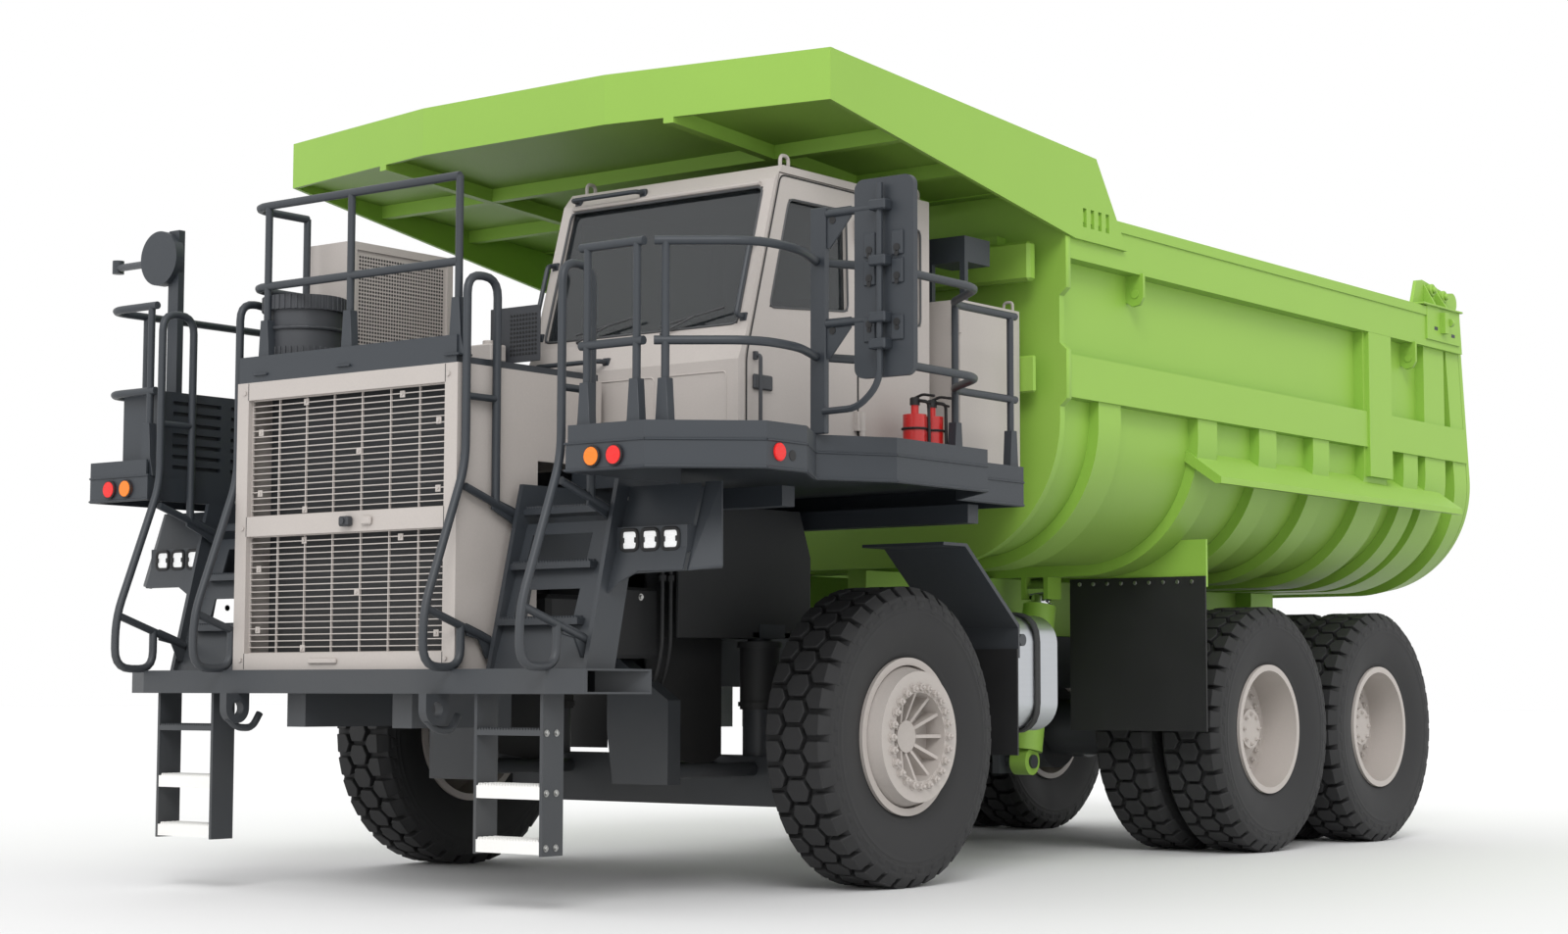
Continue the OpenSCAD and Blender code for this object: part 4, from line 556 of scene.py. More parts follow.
# %% [markdown]
# Shapes are then put in place, counted from the front axle, and mirrored to the truck's other side where it
# has a twin. All meshes of one finish on one body are joined to a piece that rides on that body.

# %% Placing and joining
def moved(mesh, place=(0, 0, 0), mirror=False):
    """A copy of a mesh at a place, mirrored left to right where asked."""
    copy = mesh.copy()
    if mirror:
        copy.transform(Matrix.Scale(-1, 4, (1, 0, 0)))
        copy.flip_normals()
    copy.transform(Matrix.Translation(place))
    return copy


def both(meshes):
    """Meshes and their twins on the truck's other side."""
    return list(meshes) + [moved(mesh, mirror=True) for mesh in meshes]


def box(low, high, edge=0.003):
    """A block between two corners counted from the front axle."""
    return block(at(*low), at(*high), edge)


def bent(points, radius, bend=0.05, sides=10):
    """A bar through points counted from the front axle."""
    return bar([at(*point) for point in points], radius, bend, sides)


def button(place, radius, height, sides=6, edge=0.15, axis="X"):
    """A disc that stands at a place counted from the front axle."""
    return moved(disc(radius, height, sides, edge, axis), at(*place))


triangles = {}


def piece(name, meshes, finish, body="chassis", smooth=35):
    """Meshes joined to one object that rides on a body."""
    shape = bmesh.new()
    for mesh in meshes:
        shape.from_mesh(mesh)
    for face in shape.faces:
        face.material_index = 0
        face.smooth = smooth > 0
    mesh = bpy.data.meshes.new(name)
    shape.to_mesh(mesh)
    shape.free()
    mesh.materials.clear()
    mesh.materials.append(finish)
    if smooth:
        mesh.set_sharp_from_angle(angle=math.radians(smooth))
    thing = show(name, mesh)
    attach(thing, body)
    triangles[name] = sum(len(p.vertices) - 2 for p in mesh.polygons)
    return thing


print("ready to place pieces")

# %% [markdown]
# The CAD tyre is a plain ring out to the tips of its lugs. A real one of this kind has a row of six-sided
# blocks round the middle and pointed lugs on both shoulders, half a pitch apart, with deep grooves between.
# One block and one lug are modelled, the ring tree turns them round the axle, and a turned carcass with
# raised rings on its walls carries them. The piece replaces the CAD ring and keeps its outline.

# %% Tread blocks
tip, wall_x, bead_x, bead_r, wall_height = 0.9375, 0.25, 0.168, 0.4705, 0.4075
tread_count, groove_r, lug_gap = 36, 0.886, 0.018
pitch = 2 * math.pi * tip / tread_count


def tread_block(outline, tops, low):
    """A prism on the tyre's round: outline in (x, arc), a height for each corner, its foot at a radius."""
    shape = bmesh.new()

    def corner(x, arc, radius):
        return shape.verts.new((x, radius * math.cos(arc / tip), radius * math.sin(arc / tip)))

    foot = [corner(x, arc, low) for x, arc in outline]
    head = [corner(x, arc, top) for (x, arc), top in zip(outline, tops)]
    prism(shape, foot, head)
    bmesh.ops.connect_verts_concave(shape, faces=shape.faces[:])
    soften(shape, 0.0045)
    return to_mesh(shape)


def shoulder_lug(near, far):
    """A lug's flat top, its slope over the shoulder and its skirt down the wall."""
    flat = [(0.197, near), (0.197, far), (0.112, far), (0.078, pitch / 2), (0.112, near)]
    slope = [(0.247, near + 0.004), (0.247, far - 0.004), (0.19, far), (0.19, near)]
    skirt = [(0.2525, near + 0.03), (0.2525, far - 0.03), (0.225, far - 0.01), (0.225, near + 0.01)]
    return [
        tread_block(flat, [tip] * 5, groove_r - 0.01),
        tread_block(slope, [0.876, 0.876, tip, tip], groove_r - 0.04),
        tread_block(skirt, [0.838, 0.838, 0.885, 0.885], 0.79),
    ]


centre_half = 0.068
centre_flat = tip * math.cos(centre_half / tip)
centre_side = [(0.052, -centre_half), (0.082, 0), (0.052, centre_half)]
centre_outline = centre_side + [(-x, arc) for x, arc in reversed(centre_side)]
centre_block = tread_block(centre_outline, [tip, centre_flat, tip] * 2, groove_r - 0.01)
print("tread pitch", round(pitch, 4), "with", len(centre_block.polygons), "faces on a centre block")

# %% Tyres
def carcass_profile(steps=24, belly=118, raised=(3, 18, 20)):
    """The tyre's section, from a bead up its bellied wall with raised rings, and down the other side."""
    half = []
    for i in range(steps + 1):
        t = i / steps
        x = bead_x + (wall_x - bead_x) * math.sin(math.radians(belly * t))
        half.append((x + 0.004 if i in raised else x, bead_r + t * wall_height))
    half += [(0.222, groove_r), (0.1, groove_r + 0.002)]
    return half + [(-x, r) for x, r in reversed(half)]


shoulder = [ring(mesh, tread_count, tyre_rubber) for mesh in shoulder_lug(lug_gap, pitch - lug_gap)]
tyre_meshes = [turned_shape(carcass_profile(), 108), ring(centre_block, tread_count, tyre_rubber)]
tyre_meshes += both(shoulder)
outer_x, inner_x = 1.88, 1.3
wheels = {"front_left": [outer_x], "front_right": [-outer_x]}
for axle in ("mid", "rear"):
    wheels[f"{axle}_left"], wheels[f"{axle}_right"] = [outer_x, inner_x], [-outer_x, -inner_x]
hub_at = {}
for wheel, xs in wheels.items():
    centre = Vector(joints[f"wheel_{wheel}_spin"]["pos_m"])
    hub_at[wheel] = centre
    meshes = [moved(mesh, (x, centre.y, centre.z)) for x in xs for mesh in tyre_meshes]
    tyre = piece(f"treaded_tyre_{wheel}", meshes, tyre_rubber, f"wheel_{wheel}", 28)
    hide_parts(("tyre_" if len(xs) == 1 else "tyres_") + wheel)
print("tyre triangles", triangles["treaded_tyre_front_left"])

# %% [markdown]
# Wheel nuts sit on the discs in a ring: twenty-four on a front wheel, where the flange stands proud, and
# twenty-four deep inside a rear one, with eight small ones round its hub. A nut is a washer, a hexagon and
# the end of its stud.

# %% Wheel nuts
def nut(size):
    return [disc(size * 1.25, size * 0.2, 14), disc(size, size * 1.1, 6), disc(size * 0.5, size * 1.8, 8)]


def nut_ring(x, radius, count, size):
    parts = []
    for mesh in nut(size):
        mesh.transform(Matrix.Translation((x, radius, 0)))
        parts.append(ring(mesh, count, beige))
    return parts


for wheel, xs in wheels.items():
    centre, left = hub_at[wheel], xs[0] > 0
    if wheel.startswith("front"):
        low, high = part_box(f"rim_{wheel}")
        parts = nut_ring((high.x if left else -low.x) - outer_x, 0.308, 24, 0.026)
    else:
        parts = nut_ring(-0.09, 0.345, 24, 0.022) + nut_ring(0.04, 0.115, 8, 0.014)
    meshes = [moved(mesh, (xs[0], centre.y, centre.z), mirror=not left) for mesh in parts]
    piece(f"wheel_nuts_{wheel}", meshes, beige, f"wheel_{wheel}")
print("nuts on", len(wheels), "wheels")

# %% [markdown]
# Handrails are bent from one length of tube. CAD keeps them as straight lengths that meet at corners, which
# is enough for its solids. Here each run is one bar along the same line, with its corners bent to a radius,
# and it replaces the CAD node. Posts of the deck rails stand in flared feet, plates that taper up to the
# tube.

# %% Stair hoops
tube, hoop_bend = 0.025, 0.125
hoop_line = [
    (-2.57, 2.294), (-2.57, 3.605), (-2.82, 3.605), (-2.82, 2.51),
    (-3.14, 1.66), (-3.14, 1.35), (-2.845, 1.35), (-2.845, 1.589),
]
upper_gusset = [(-2.6, 2.33), (-2.44, 2.285), (-2.34, 2.25), (-2.33, 2.13), (-2.46, 2.2), (-2.6, 2.26)]
lower_gusset = [
    (-2.8, 1.6), (-2.68, 1.56), (-2.6, 1.53), (-2.59, 1.4), (-2.64, 1.4), (-2.7, 1.51), (-2.8, 1.53),
]


def along_plate(outline, x, thick):
    """A plate that faces sideways, its outline in y and z."""
    return plate([(y + axle_y, z) for y, z in outline], "X", x, x + thick)


hoops = []
for x in (0.9747, 1.7097):
    hoops.append(bent([(x, y, z) for y, z in hoop_line], tube, hoop_bend, 14))
    hoops.append(bent([(x, -2.57, 2.9), (x, -2.82, 2.9)], 0.021, sides=12))
    hoops.append(bent([(x, -2.82, 2.379), (x, -2.36, 2.223)], 0.0235, sides=12))
    hoops.append(bent([(x, -3.13, 1.682), (x, -2.6, 1.501)], 0.0235, sides=12))
    hoops += [along_plate(outline, x - 0.008, 0.016) for outline in (upper_gusset, lower_gusset)]
bent_hoops = piece("bent_hoops", both(hoops), slate)
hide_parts("stair_hoops")
print("hoops", triangles["bent_hoops"], "triangles")

# %% Deck rails
deck, deck_zs = 2.57, (3.1175, 3.665)
upper_deck, upper_zs = 3.133, (3.685, 4.185)
front_y, door_corner = -2.8, (2.8, -1.215)
wide_bend, door_bend = 0.16, 0.06


def foot(spot, faces):
    """A flared post foot: a plate that faces along an axis and tapers upwards, on a small base."""
    flare = [(-0.075, 0), (0.075, 0), (0.045, 0.12), (0.03, 0.34), (-0.03, 0.34), (-0.045, 0.12)]
    base = block((-0.06, -0.06, 0), (0.06, 0.06, 0.012))
    return [moved(plate(flare, faces, -0.03, 0.03), spot), moved(base, spot)]


def rail_run(line, zs, low, side, posts):
    """Rails bent along (x, y) points, one at each height, on posts that stand along them."""
    bends = [door_bend if corner == door_corner else wide_bend for corner in line[1:]]
    meshes = [bent([(side * x, y, z) for x, y in line], tube, bends, 12) for z in zs]
    for x, y in posts:
        meshes.append(bent([(side * x, y, low), (side * x, y, zs[-1])], 0.023, sides=12))
        meshes += foot(at(side * x, y, low), "Y" if y < -2.7 else "X")
    return meshes


gate_line = [(1.83, front_y), (2.29, front_y)]
bay_line = [(2.335, -2.767), (2.79, -2.43), (2.79, -2.07), (2.6, -1.65)]
back_line = [(2.6, -1.63), door_corner, (2.79, -0.26), (2.29, 0.17), (2.29, 0.93)]
right_line = [(1.79, front_y), (2.29, front_y), (2.29, 0.93)]
right_posts = [(1.845, front_y), (2.29, -2.478), (2.29, 0.87)]
upper_line = [(0.9, -2.815), (-0.9, -2.815), (-0.9, -2.35)]
upper_posts = [(0.9, -2.815), (0, -2.815), (-0.73, -2.815), (-0.9, -2.35)]
rails = rail_run(gate_line, deck_zs, deck, 1, [(1.88, front_y), (2.24, front_y)])
rails += rail_run(bay_line, deck_zs, deck, 1, [(2.385, -2.73)])
rails += rail_run(back_line, deck_zs, deck, 1, [(2.3, 0.21), (2.29, 0.87)])
rails += rail_run(right_line, deck_zs, deck, -1, right_posts)
rails += rail_run(upper_line, upper_zs, upper_deck, 1, upper_posts)
rails.append(box((2.56, -1.66, 2.675), (2.67, -1.62, 3.975), 0.006))
bent_rails = piece("bent_rails", rails, slate)
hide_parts("deck_rails")
print("rails", triangles["bent_rails"], "triangles")

# %% [markdown]
# The cab's windows sit in rubber gaskets, each a bar that runs round the pane. Grab handles, wipers and
# lifting eyes are bent bars too. The door's gasket, seal and handle ride on the door, so they swing with it.

# %% Gaskets and wipers
def on_screen(x, z, off=0.0):
    """A point on the leaning windscreen, or off it by a distance."""
    return (x, -1.4706 + 0.2853 * (z - 3.3526) - off, z)


def pane(points, radius=0.007):
    return loop([at(*p) for p in points], radius, 0.05)


door_x = 1.95
gaskets = [
    pane([on_screen(x, z) for x, z in oblong(0.32, 3.393, 1.87, 4.253)], 0.008),
    pane([(door_x, y, z) for y, z in oblong(-0.18, 3.562, 0.336, 4.19)]),
    pane([(0.24, y, z) for y, z in oblong(-1.093, 3.498, 0.236, 4.208)]),
    pane([(x, 0.435, z) for x, z in oblong(0.497, 3.48, 1.693, 4.19)]),
]
for x in (0.62, 1.3):
    pivot = (x, on_screen(x, 3.37)[1], 3.36)
    gaskets.append(bent([pivot, on_screen(x, 3.37, 0.03), on_screen(x + 0.24, 3.46, 0.03)], 0.007, 0.01, 6))
    gaskets.append(bent([on_screen(x - 0.02, 3.42, 0.02), on_screen(x + 0.46, 3.5, 0.02)], 0.007, sides=6))
piece("cab_gaskets", gaskets, seal)
door_pane = [(-1.252, 3.507), (-0.458, 3.571), (-0.478, 4.199), (-1.064, 4.19)]
piece("door_gasket", [pane([(door_x, y, z) for y, z in door_pane])], seal, "cab_door")
door_rim = [(-1.474, 2.64), (-1.474, 3.19), (-1.148, 4.327), (-0.356, 4.327), (-0.356, 2.64)]
piece("door_seal", [pane([(door_x, y, z) for y, z in door_rim], 0.006)], flap_rubber, "cab_door")
print("gaskets", triangles["cab_gaskets"] + triangles["door_gasket"] + triangles["door_seal"])

# %% Grips, eyes and hatches
def handle(a, b, out, radius=0.015):
    """A grab handle between two feet, standing off by a vector."""
    a, b, out = at(*a), at(*b), Vector(out)
    feet = [moved(block((-0.025, -0.012, -0.025), (0.025, 0.012, 0.025)), end) for end in (a, b)]
    return [bar([a, a + out, b + out, b], radius, 0.03, 10)] + feet


grips = handle(on_screen(1.91, 3.43), on_screen(1.91, 3.9), (0, -0.075, 0))
grips += handle(on_screen(0.28, 3.43), on_screen(0.28, 3.9), (0, -0.075, 0))
grips += handle((0.38, -1.525, 3.225), (0.9, -1.525, 3.225), (0, -0.075, 0))
grips += handle((0.36, -1.19, 4.325), (0.9, -1.19, 4.325), (0, -0.07, 0))
piece("cab_grips", grips, slate)
eye_arch = [(-0.04, 4.385), (-0.04, 4.47), (0.04, 4.47), (0.04, 4.385)]
eyes = []
for x, y in ((1.88, -1.02), (0.31, -1.02), (1.88, 0.37), (0.31, 0.37)):
    eyes.append(bent([(x, y + out, z) for out, z in eye_arch], 0.012, 0.035, 8))
eyes.append(bent([on_screen(0.34, 4.275, 0.012), on_screen(1.85, 4.275, 0.012)], 0.014, sides=8))
for hatch in (oblong(0.5, 2.76, 1.3, 3.1), oblong(1.36, 2.76, 1.86, 3.1)):
    eyes.append(loop([at(x, -1.551, z) for x, z in hatch], 0.005, 0.03, 6))
piece("cab_eyes_and_hatches", eyes, beige)
door_parts = [box((door_x, -1.42, 3.0), (1.972, -1.24, 3.09), 0.008)]
door_parts += handle((door_x, -1.4, 3.2), (door_x, -1.4, 2.75), (0.05, 0, 0), 0.012)
piece("door_handle", door_parts, moulding, "cab_door")
print("cab trim added")

# %% [markdown]
# Lamps get their rims: black rounded frames round the square headlamps, thin rings round the marker and
# tail lamps. A lamp's rim is a loop of bar that lies on the lamp's front edge.

# %% Lamp rims
rims = []
for i in range(3):
    x = 1.81 + 0.15 * i
    frame_line = oblong(x - 0.006, 2.002, x + 0.111, 2.118)
    rims.append(loop([at(a, -2.412, b) for a, b in frame_line], 0.011, 0.035, 8))
    for notch in (x - 0.004, x + 0.093):
        rims.append(box((notch, -2.424, 2.045), (notch + 0.016, -2.405, 2.075)))
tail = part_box("red_lamps")[1].y - axle_y
lamp_places = [(2.144, -2.872, 2.495), (1.982, -2.872, 2.495)]
lamp_places += [(x, tail - 0.01, 1.5) for x in (0.3, 0.15)]
for x, y, z in lamp_places:
    rims.append(bent([(x + a, y, z + b) for a, b in once_round(0.053)], 0.007, 0, 8))
piece("lamp_rims", both(rims), flap_rubber)
print("lamp rims", triangles["lamp_rims"], "triangles")

# %% [markdown]
# Steps need grip. Their front edges carry teeth, one small wedge repeated along X by the row tree, and the
# ladder plates show the bolts that hold the steps.

# %% Step teeth and bolts
tooth = plate([(-0.009, 0), (0.009, 0), (0, 0.014)], "Y", -0.012, 0.012, 0)
tooth_step, ladder_y = (0.0213, 0, 0), -2.86
step_teeth = []
for y, z in ((-2.604, 1.625), (-2.499, 1.947), (-2.394, 2.269)):
    for inset in (0.014, 0.06):
        step_teeth.append(row(moved(tooth, at(1.05, y + inset, z)), 28, tooth_step, slate))
for inset in (0.014, 0.06, 0.11):
    step_teeth.append(row(moved(tooth, at(1.125, ladder_y + inset, 1.0)), 24, tooth_step, slate))
piece("step_teeth", both(step_teeth), slate)
tread_teeth = []
for z in (0.69, 0.39):
    for inset in (0.02, 0.06, 0.1, 0.14):
        tread_teeth.append(row(moved(tooth, at(1.14, ladder_y + inset, z)), 22, tooth_step, white))
piece("tread_teeth", both(tread_teeth), white)
bolt = [disc(0.02, 0.004, 12), disc(0.014, 0.013, 6)]
bolt_places = [(1.63, y, z) for z in (0.985, 0.655, 0.355) for y in (-2.83, -2.75)]
bolt_places += [(1.765, y, z) for y, z in ((-2.1, 2.05), (-2.2, 1.75), (-2.3, 2.3), (-2.2, 2.3))]
bolts = [moved(mesh, at(*place)) for place in bolt_places for mesh in bolt]
piece("ladder_bolts", both(bolts), zinc)
print("teeth and bolts", triangles["step_teeth"] + triangles["tread_teeth"] + triangles["ladder_bolts"])

# %% [markdown]
# The radiator's wires are held by small clips, the cooling cabinet's side is a perforated sheet, and the air
# cleaner's cap has fins all round. Holes in the sheet are dark discs in rows, painted shade for the openings,
# since the sheet is closed in CAD. The fins are turned round X by the ring tree and then tipped upright.

# %% Grille clips
clip_places = [
    (-0.76, 0.72), (-0.76, 0.2), (-0.36, 0.95), (-0.36, 0.04),
    (0.1, 0.5), (0.46, 0.94), (0.76, 0.7), (0.76, 0.15),
]
clips = []
for low, high in ((1.44, 2.15), (2.27, 2.985)):
    for x, share in clip_places:
        z = low + (high - low) * share
        clips.append(box((x - 0.02, -2.826, z - 0.02), (x + 0.02, -2.818, z + 0.02), 0.002))
        clips.append(button((x, -2.832, z), 0.009, 0.006, 8, axis="Y"))
clips.append(box((0.18, -2.88, 2.185), (0.26, -2.857, 2.235), 0.008))
clips.append(box((-0.26, -2.875, 1.375), (-0.02, -2.857, 1.405), 0.006))
for x in (-0.87, 0.87):
    clips += [button((x, -2.867, z), 0.014, 0.01, axis="Y") for z in (1.4, 2.2, 3.03)]
piece("grille_clips", clips, beige)
print("grille clips", triangles["grille_clips"], "triangles")

# %% Perforated sheet and cleaner fins
# Each hole is a black disc on the closed sheet: painted shade for the opening.
hole = button((-0.6125, -2.165, 3.215), 0.0085, 0.002)
hole_line = row(hole, 32, (0, 0.0235, 0), flap_rubber)
piece("perforated_sheet", [row(hole_line, 32, (0, 0, 0.0235), flap_rubber)], flap_rubber, smooth=0)
fins = ring(block((-0.045, 0.25, -0.009), (0.045, 0.262, 0.009)), 40, moulding)
fins.transform(Matrix.Rotation(math.pi / 2, 4, "Y"))
low_fins = fins.copy()
low_fins.transform(Matrix.Diagonal((0.93, 0.93, 1, 1)))
cleaner = at(-0.69, -2.55, 0)
band = [cleaner + Vector((a, b, 3.43)) for a, b in once_round(0.243, 40)]
cleaner_parts = [moved(mesh, cleaner + Vector((0, 0, z))) for mesh, z in ((fins, 3.587), (low_fins, 3.27))]
cleaner_parts.append(bar(band, 0.012, 0, 8))
piece("cleaner_fins", cleaner_parts, moulding)
print("sheet and fins", triangles["perforated_sheet"] + triangles["cleaner_fins"], "triangles")

# %% [markdown]
# Fire extinguishers have black valves with a lever and a hose that lies along the bottle, both ends fixed.
# Straps hold the tanks, and a filler cap stands on each. The cabinet behind the cab gets hinges, a handle
# and lifting eyes.

# %% Deck and tank fittings
lever = [(0, 0, 0.015), (0.06, 0, 0.035), (0.15, 0, 0.02)]
grip = [(0, 0, 0), (0.05, 0, -0.005), (0.13, 0, -0.03)]
hose = [(0.02, 0.02, 0), (0.085, 0.03, -0.01), (0.09, 0.03, -0.3), (0.06, 0.05, -0.36)]
bottle_x, valve_z = 2.15, 3.04
valves = []
for y in (-0.02, 0.17):
    top = at(bottle_x, y, valve_z)
    valves.append(button((bottle_x, y, valve_z - 0.03), 0.032, 0.05, 12, axis="Z"))
    for line, *sizes in ((lever, 0.009, 0.02, 6), (grip, 0.008, 0.02, 6), (hose, 0.011, 0.05, 8)):
        valves.append(bar([top + Vector(p) for p in line], *sizes))
    for z in (2.66, 2.86):
        valves.append(bent([(bottle_x + a, y + b, z) for a, b in once_round(0.079)], 0.008, 0, 6))
piece("extinguisher_valves", valves, flap_rubber)
straps = []
for y in (1.6, 1.93):
    for shift in (0, 0.018, 0.036):
        strap_line = [(x, y + shift, z) for x, z in oblong(1.3, 1.758, 1.808, 0.942)]
        straps.append(bent(strap_line, 0.012, 0.2, 8))
straps.append(button((1.4, 1.78, 1.745), 0.075, 0.05, 24, axis="Z"))
straps.append(button((1.4, 1.78, 1.745), 0.05, 0.075, 12, axis="Z"))
piece("tank_straps", both(straps), iron)
fittings = []
for z in (2.75, 3.15, 3.55):
    fittings.append(box((1.98, 0.632, z), (2.03, 0.64, z + 0.11)))
    fittings.append(bent([(2.052, 0.64, z), (2.052, 0.64, z + 0.11)], 0.011, sides=8))
fittings += handle((1.25, 0.64, 3.1), (1.25, 0.64, 3.3), (0, -0.05, 0), 0.011)
lift_arch = [(-0.035, 3.768), (-0.035, 3.83), (0.035, 3.83), (0.035, 3.768)]
for x, y in ((1.2, 0.7), (1.2, 1.3), (2.0, 1.3)):
    fittings.append(bent([(x + out, y, z) for out, z in lift_arch], 0.01, 0.03, 8))
piece("cabinet_fittings", fittings, beige)
print("deck fittings", sum(triangles[n] for n in ("extinguisher_valves", "tank_straps", "cabinet_fittings")))

# %% [markdown]
# The dump body carries lug plates with a hole under its top rail, a cap strip along the rail, two box ribs
# across the headboard, a plate over the last post and a bracket with pins at each rear corner. A row of
# bolts holds each mud flap. All of them ride on the body and rise with it.

# %% Body fittings
def across_plate(outline, y, thick):
    """A plate that faces forwards, its outline in x and z."""
    return plate(outline, "Y", y + axle_y, y + axle_y + thick)


hanging_lug = [(2.19, 4.15), (2.34, 4.15), (2.34, 3.98), (2.31, 3.93), (2.25, 3.92), (2.19, 3.96)]
rear_bracket = [(7.25, 4.5), (7.34, 4.71), (7.46, 4.73), (7.86, 4.68), (7.95, 4.62), (7.98, 4.5)]
lugs = []
for y in (2.52, 7.05):
    lugs.append(across_plate(hanging_lug, y, 0.03))
    lugs.append(button((2.275, y - 0.008, 4.01), 0.032, 0.008, 16, axis="Y"))
lugs.append(along_plate(oblong(1.57, 4.4, 7.32, 4.478), 2.318, 0.014))
lugs.append(along_plate(oblong(7.31, 4.2, 7.98, 4.5), 2.318, 0.018))
lugs.append(box((2.1, 7.2, 4.485), (2.36, 8.0, 4.502), 0.004))
lugs.append(along_plate(rear_bracket, 2.2, 0.03))
for y, z in ((7.58, 4.65), (7.82, 4.62)):
    lugs.append(across_plate([(2.22, 4.5), (2.34, 4.5), (2.23, z + 0.05)], y - 0.1, 0.02))
    lugs += [button((2.228, y, z), radius, depth, 16) for radius, depth in ((0.055, 0.05), (0.03, 0.075))]
lugs.append(along_plate(oblong(7.58, 4.27, 7.66, 4.45), 2.33, 0.05))
lugs.append(button((2.375, 7.67, 4.37), 0.035, 0.05, 12, axis="Y"))
for top, low, deep in ((4.24, 3.97, 0.09), (3.47, 3.22, 0.028)):
    lugs.append(box((0, 1.4 - deep, low), (2.16, 1.402, top), 0.02))
    rib_end = [(2.27, top + 0.1), (2.335, top + 0.04), (2.335, low - 0.04), (2.27, low - 0.1)]
    lugs.append(across_plate(rib_end, 1.5, 0.06))
lugs.append(along_plate(oblong(6.2, 2.96, 6.62, 4.145), 2.27, 0.048))
piece("body_lugs", both(lugs), lime, "dump_body")
slots = [box((2.33, y, z), (2.338, y + 0.07, z + 0.03), 0.002) for y, z in ((7.45, 4.29), (7.8, 4.26))]
piece("body_slots", both(slots), moulding, "dump_body")
flap_bolt = disc(0.016, 0.012, axis="Y")
flap_bolt.transform(Matrix.Scale(-1, 4, (0, 1, 0)))
flap_bolts = row(moved(flap_bolt, at(1.1, 3.685, 2.03)), 9, (0.12, 0, 0), zinc)
piece("flap_bolts", both([flap_bolts]), zinc, "dump_body")
print("body fittings", triangles["body_lugs"] + triangles["flap_bolts"])

# %% [markdown]
# The left mirror hangs on two arms in front of the bayed deck. A tube runs down its front and bends back to
# the post, clamps hold the mirror to the tube, and gussets with a round hole stiffen the arms. The bay beside
# it has a marker lamp of its own, and a thin bead runs along the deck's edge.

# %% Mirror and deck edge
mirror_tube = [(3.078, -1.7, 4.06), (3.078, -1.7, 2.93), (2.93, -1.7, 2.8), (2.66, -1.66, 2.8)]
pad_xs, arm_zs = (2.985, 3.175), (3.3, 3.935)
mirror = [bent(mirror_tube, 0.02, 0.12, 10)]
for z in (3.15, 3.3, 3.62, 3.935):
    mirror.append(box((3.02, -1.735, z - 0.03), (3.136, -1.655, z + 0.03), 0.008))
for z in (3.24, 3.56, 3.72):
    mirror += [box((x - 0.04, -1.672, z - 0.07), (x + 0.04, -1.659, z + 0.07), 0.006) for x in pad_xs]
for z in arm_zs:
    gusset = [(2.66, z - 0.2), (2.69, z - 0.2), (2.84, z - 0.03), (2.84, z + 0.03), (2.66, z + 0.03)]
    mirror.append(across_plate(gusset, -1.645, 0.012))
piece("mirror_clamps", mirror, slate)
# The holes in the pads and gussets, and one on the bay's side, are black discs: painted shade for the
# openings.
dark = []
for z in (3.27, 3.53, 3.69):
    for x in pad_xs:
        dark.append(button((x, -1.676, z), 0.022, 0.006, 12, axis="Y"))
        dark.append(button((x, -1.676, z - 0.032), 0.015, 0.006, 12, axis="Y"))
dark += [button((2.71, -1.648, z - 0.04), 0.022, 0.004, 16, axis="Y") for z in arm_zs]
dark.append(button((2.849, -2.2, 2.5), 0.03, 0.004, 16))
piece("mirror_holes", dark, flap_rubber)
piece("bay_lamp", [button((2.85, -2.32, 2.512), 0.05, 0.014, 24, 0.4)], red_lens)
left_edge = [
    (1.77, -2.862), (2.352, -2.862), (2.852, -2.43), (2.852, -2.07), (2.592, -1.64),
    (2.852, -1.21), (2.852, -0.26), (2.352, 0.17), (2.352, 0.93),
]
right_edge = [(-1.77, -2.862), (-2.352, -2.862), (-2.352, 0.93)]
beads = []
for edge in (left_edge, right_edge):
    beads += [bent([(x, y, z) for x, y in edge], 0.007, 0, 6) for z in (2.573, 2.425)]
piece("deck_beads", beads, slate)
print("mirror and deck edge", triangles["mirror_clamps"] + triangles["deck_beads"])

# %% [markdown]
# Between the deck and the frame the truck is crowded: towers that carry the suspension struts, valve blocks,
# and pipes along the frame and down to it. They are plates, blocks and bent bars, dark, and kept clear of the
# steered wheels. Under the bumper a tow hook is bent from round bar on each side.

# %% Towers and pipes
tower = [
    (-0.95, 1.55), (-0.3, 1.56), (0.3, 1.56), (0.42, 1.72),
    (0.42, 2.1), (0.3, 2.4), (-0.5, 2.4), (-0.95, 2.25),
]
web = [(-0.92, 1.56), (-0.17, 1.56), (-0.17, 0.8), (-0.34, 0.74), (-0.75, 0.8), (-0.92, 1.1)]
works = [along_plate(web, 0.7, 0.02), along_plate(tower, 0.72, 0.02), along_plate(tower, 0.98, 0.02)]
works.append(box((0.72, -0.2, 1.56), (1.0, 0.2, 1.6), 0.004))
for radius, height, z in ((0.128, 0.42, 1.1), (0.145, 0.04, 1.5), (0.14, 0.03, 1.12)):
    works.append(button((0.9, 0, z), radius, height, 28, 0.05, "Z"))
works.append(box((0.4, -0.56, 2.2), (0.98, -0.42, 2.38), 0.006))
works.append(box((0.42, -1.5, 1.42), (0.84, -0.95, 1.86), 0.02))
works.append(box((0.36, -1.9, 1.5), (0.78, -1.56, 1.8), 0.03))
for i in range(4):
    pipe = [
        (0.5 + 0.05 * i, -1.95, 2.3 - 0.04 * i), (0.6 + 0.05 * i, -1.2, 2.25 - 0.05 * i),
        (0.65 + 0.04 * i, -0.62, 2.3 - 0.05 * i), (0.65 + 0.04 * i, 0.5, 2.3 - 0.05 * i),
    ]
    works.append(bent(pipe, 0.014 + 0.004 * (i % 2), 0.2, 8))
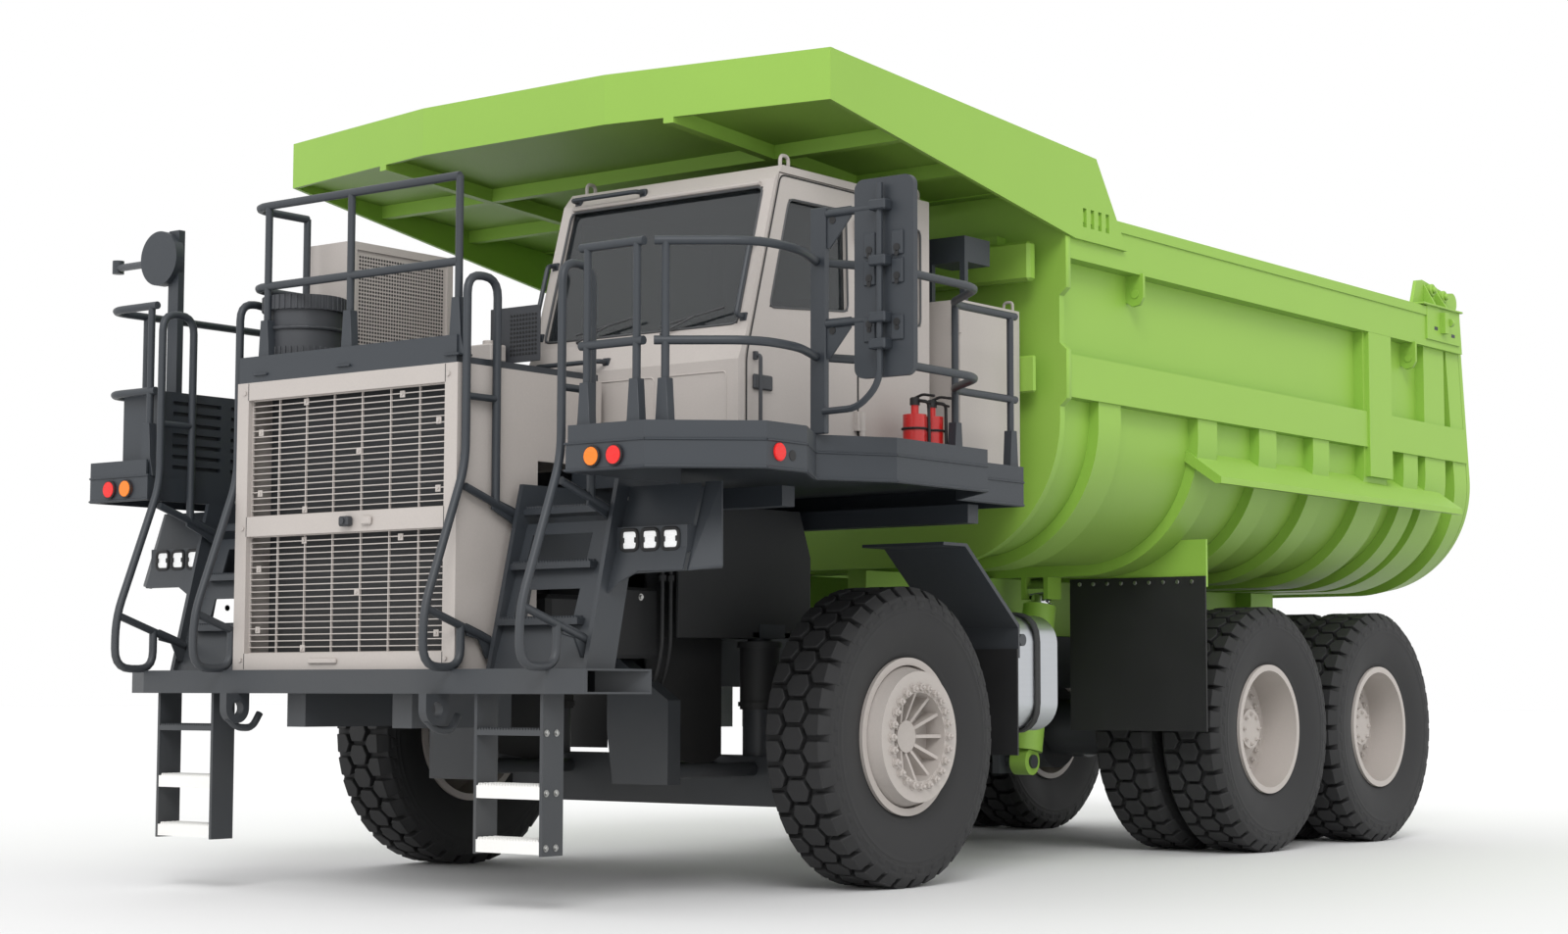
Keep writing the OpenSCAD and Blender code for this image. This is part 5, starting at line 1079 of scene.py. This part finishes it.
for y in (-1.08, -1.0):
    drop = [(0.98, y, 1.98), (0.98, y, 1.5), (0.9, y + 0.06, 1.36), (0.8, y + 0.1, 1.2)]
    works.append(bent(drop, 0.012, 0.06, 8))
    works.append(button((0.98, y, 1.9), 0.022, 0.04, axis="Z"))
piece("towers_and_pipes", both(works), iron)
hook = [(0.845, y, z) for y, z in ((-2.97, 1.05), (-2.9, 0.995), (-2.78, 0.99), (-2.72, 1.08))]
piece("tow_hooks", both([bent(hook, 0.022, 0.05, 10)]), slate)
print("towers and pipes", triangles["towers_and_pipes"])

# %% [markdown]
# On the upper deck a dark perforated shield stands between the housing and the cab, with a small valve box in
# front of it. Seams part the housing's posts from its bars, and a small camera sits on the middle bar.

# %% Shield, seams and camera
shield = [across_plate(oblong(0.08, 3.25, 0.5, 3.6), -1.7, 0.012)]
shield.append(bent([(0.09, -1.69, 3.25), (0.09, -1.69, 3.59)], 0.012, sides=6))
piece("perforated_shield", shield, moulding)
# The shield's holes are black discs in rows: painted shade for the openings.
shield_hole = button((0.26, -1.703, 3.3), 0.009, 0.003, axis="Y")
shield_line = row(shield_hole, 9, (0.026, 0, 0), flap_rubber)
piece("shield_holes", [row(shield_line, 10, (0, 0, 0.027), flap_rubber)], flap_rubber, smooth=0)
valve_box = [box((0.06, -1.86, 3.253), (0.24, -1.72, 3.36), 0.008)]
valve_box.append(button((0.15, -1.79, 3.36), 0.035, 0.03, 16, axis="Z"))
piece("valve_box", valve_box, beige)
seams = []
for low, high in ((1.345, 1.44), (2.15, 2.27), (2.985, 3.09)):
    seams += both([box((0.8395, -2.8585, low), (0.8445, -2.8565, high), 0.0005)])
piece("housing_seams", seams, iron, smooth=0)
camera_box = [box((0.02, -2.91, 2.18), (0.1, -2.857, 2.24), 0.01)]
camera_box.append(button((0.06, -2.92, 2.21), 0.02, 0.012, 12, axis="Y"))
piece("front_camera", camera_box, moulding)
print("upper deck fittings", triangles["shield_holes"] + triangles["housing_seams"])

# %% [markdown]
# Last, the triangles that the lesson adds are counted, with the pieces that hold them.

# %% Close the lesson
print(sum(triangles.values()), "triangles added in", len(triangles), "pieces")
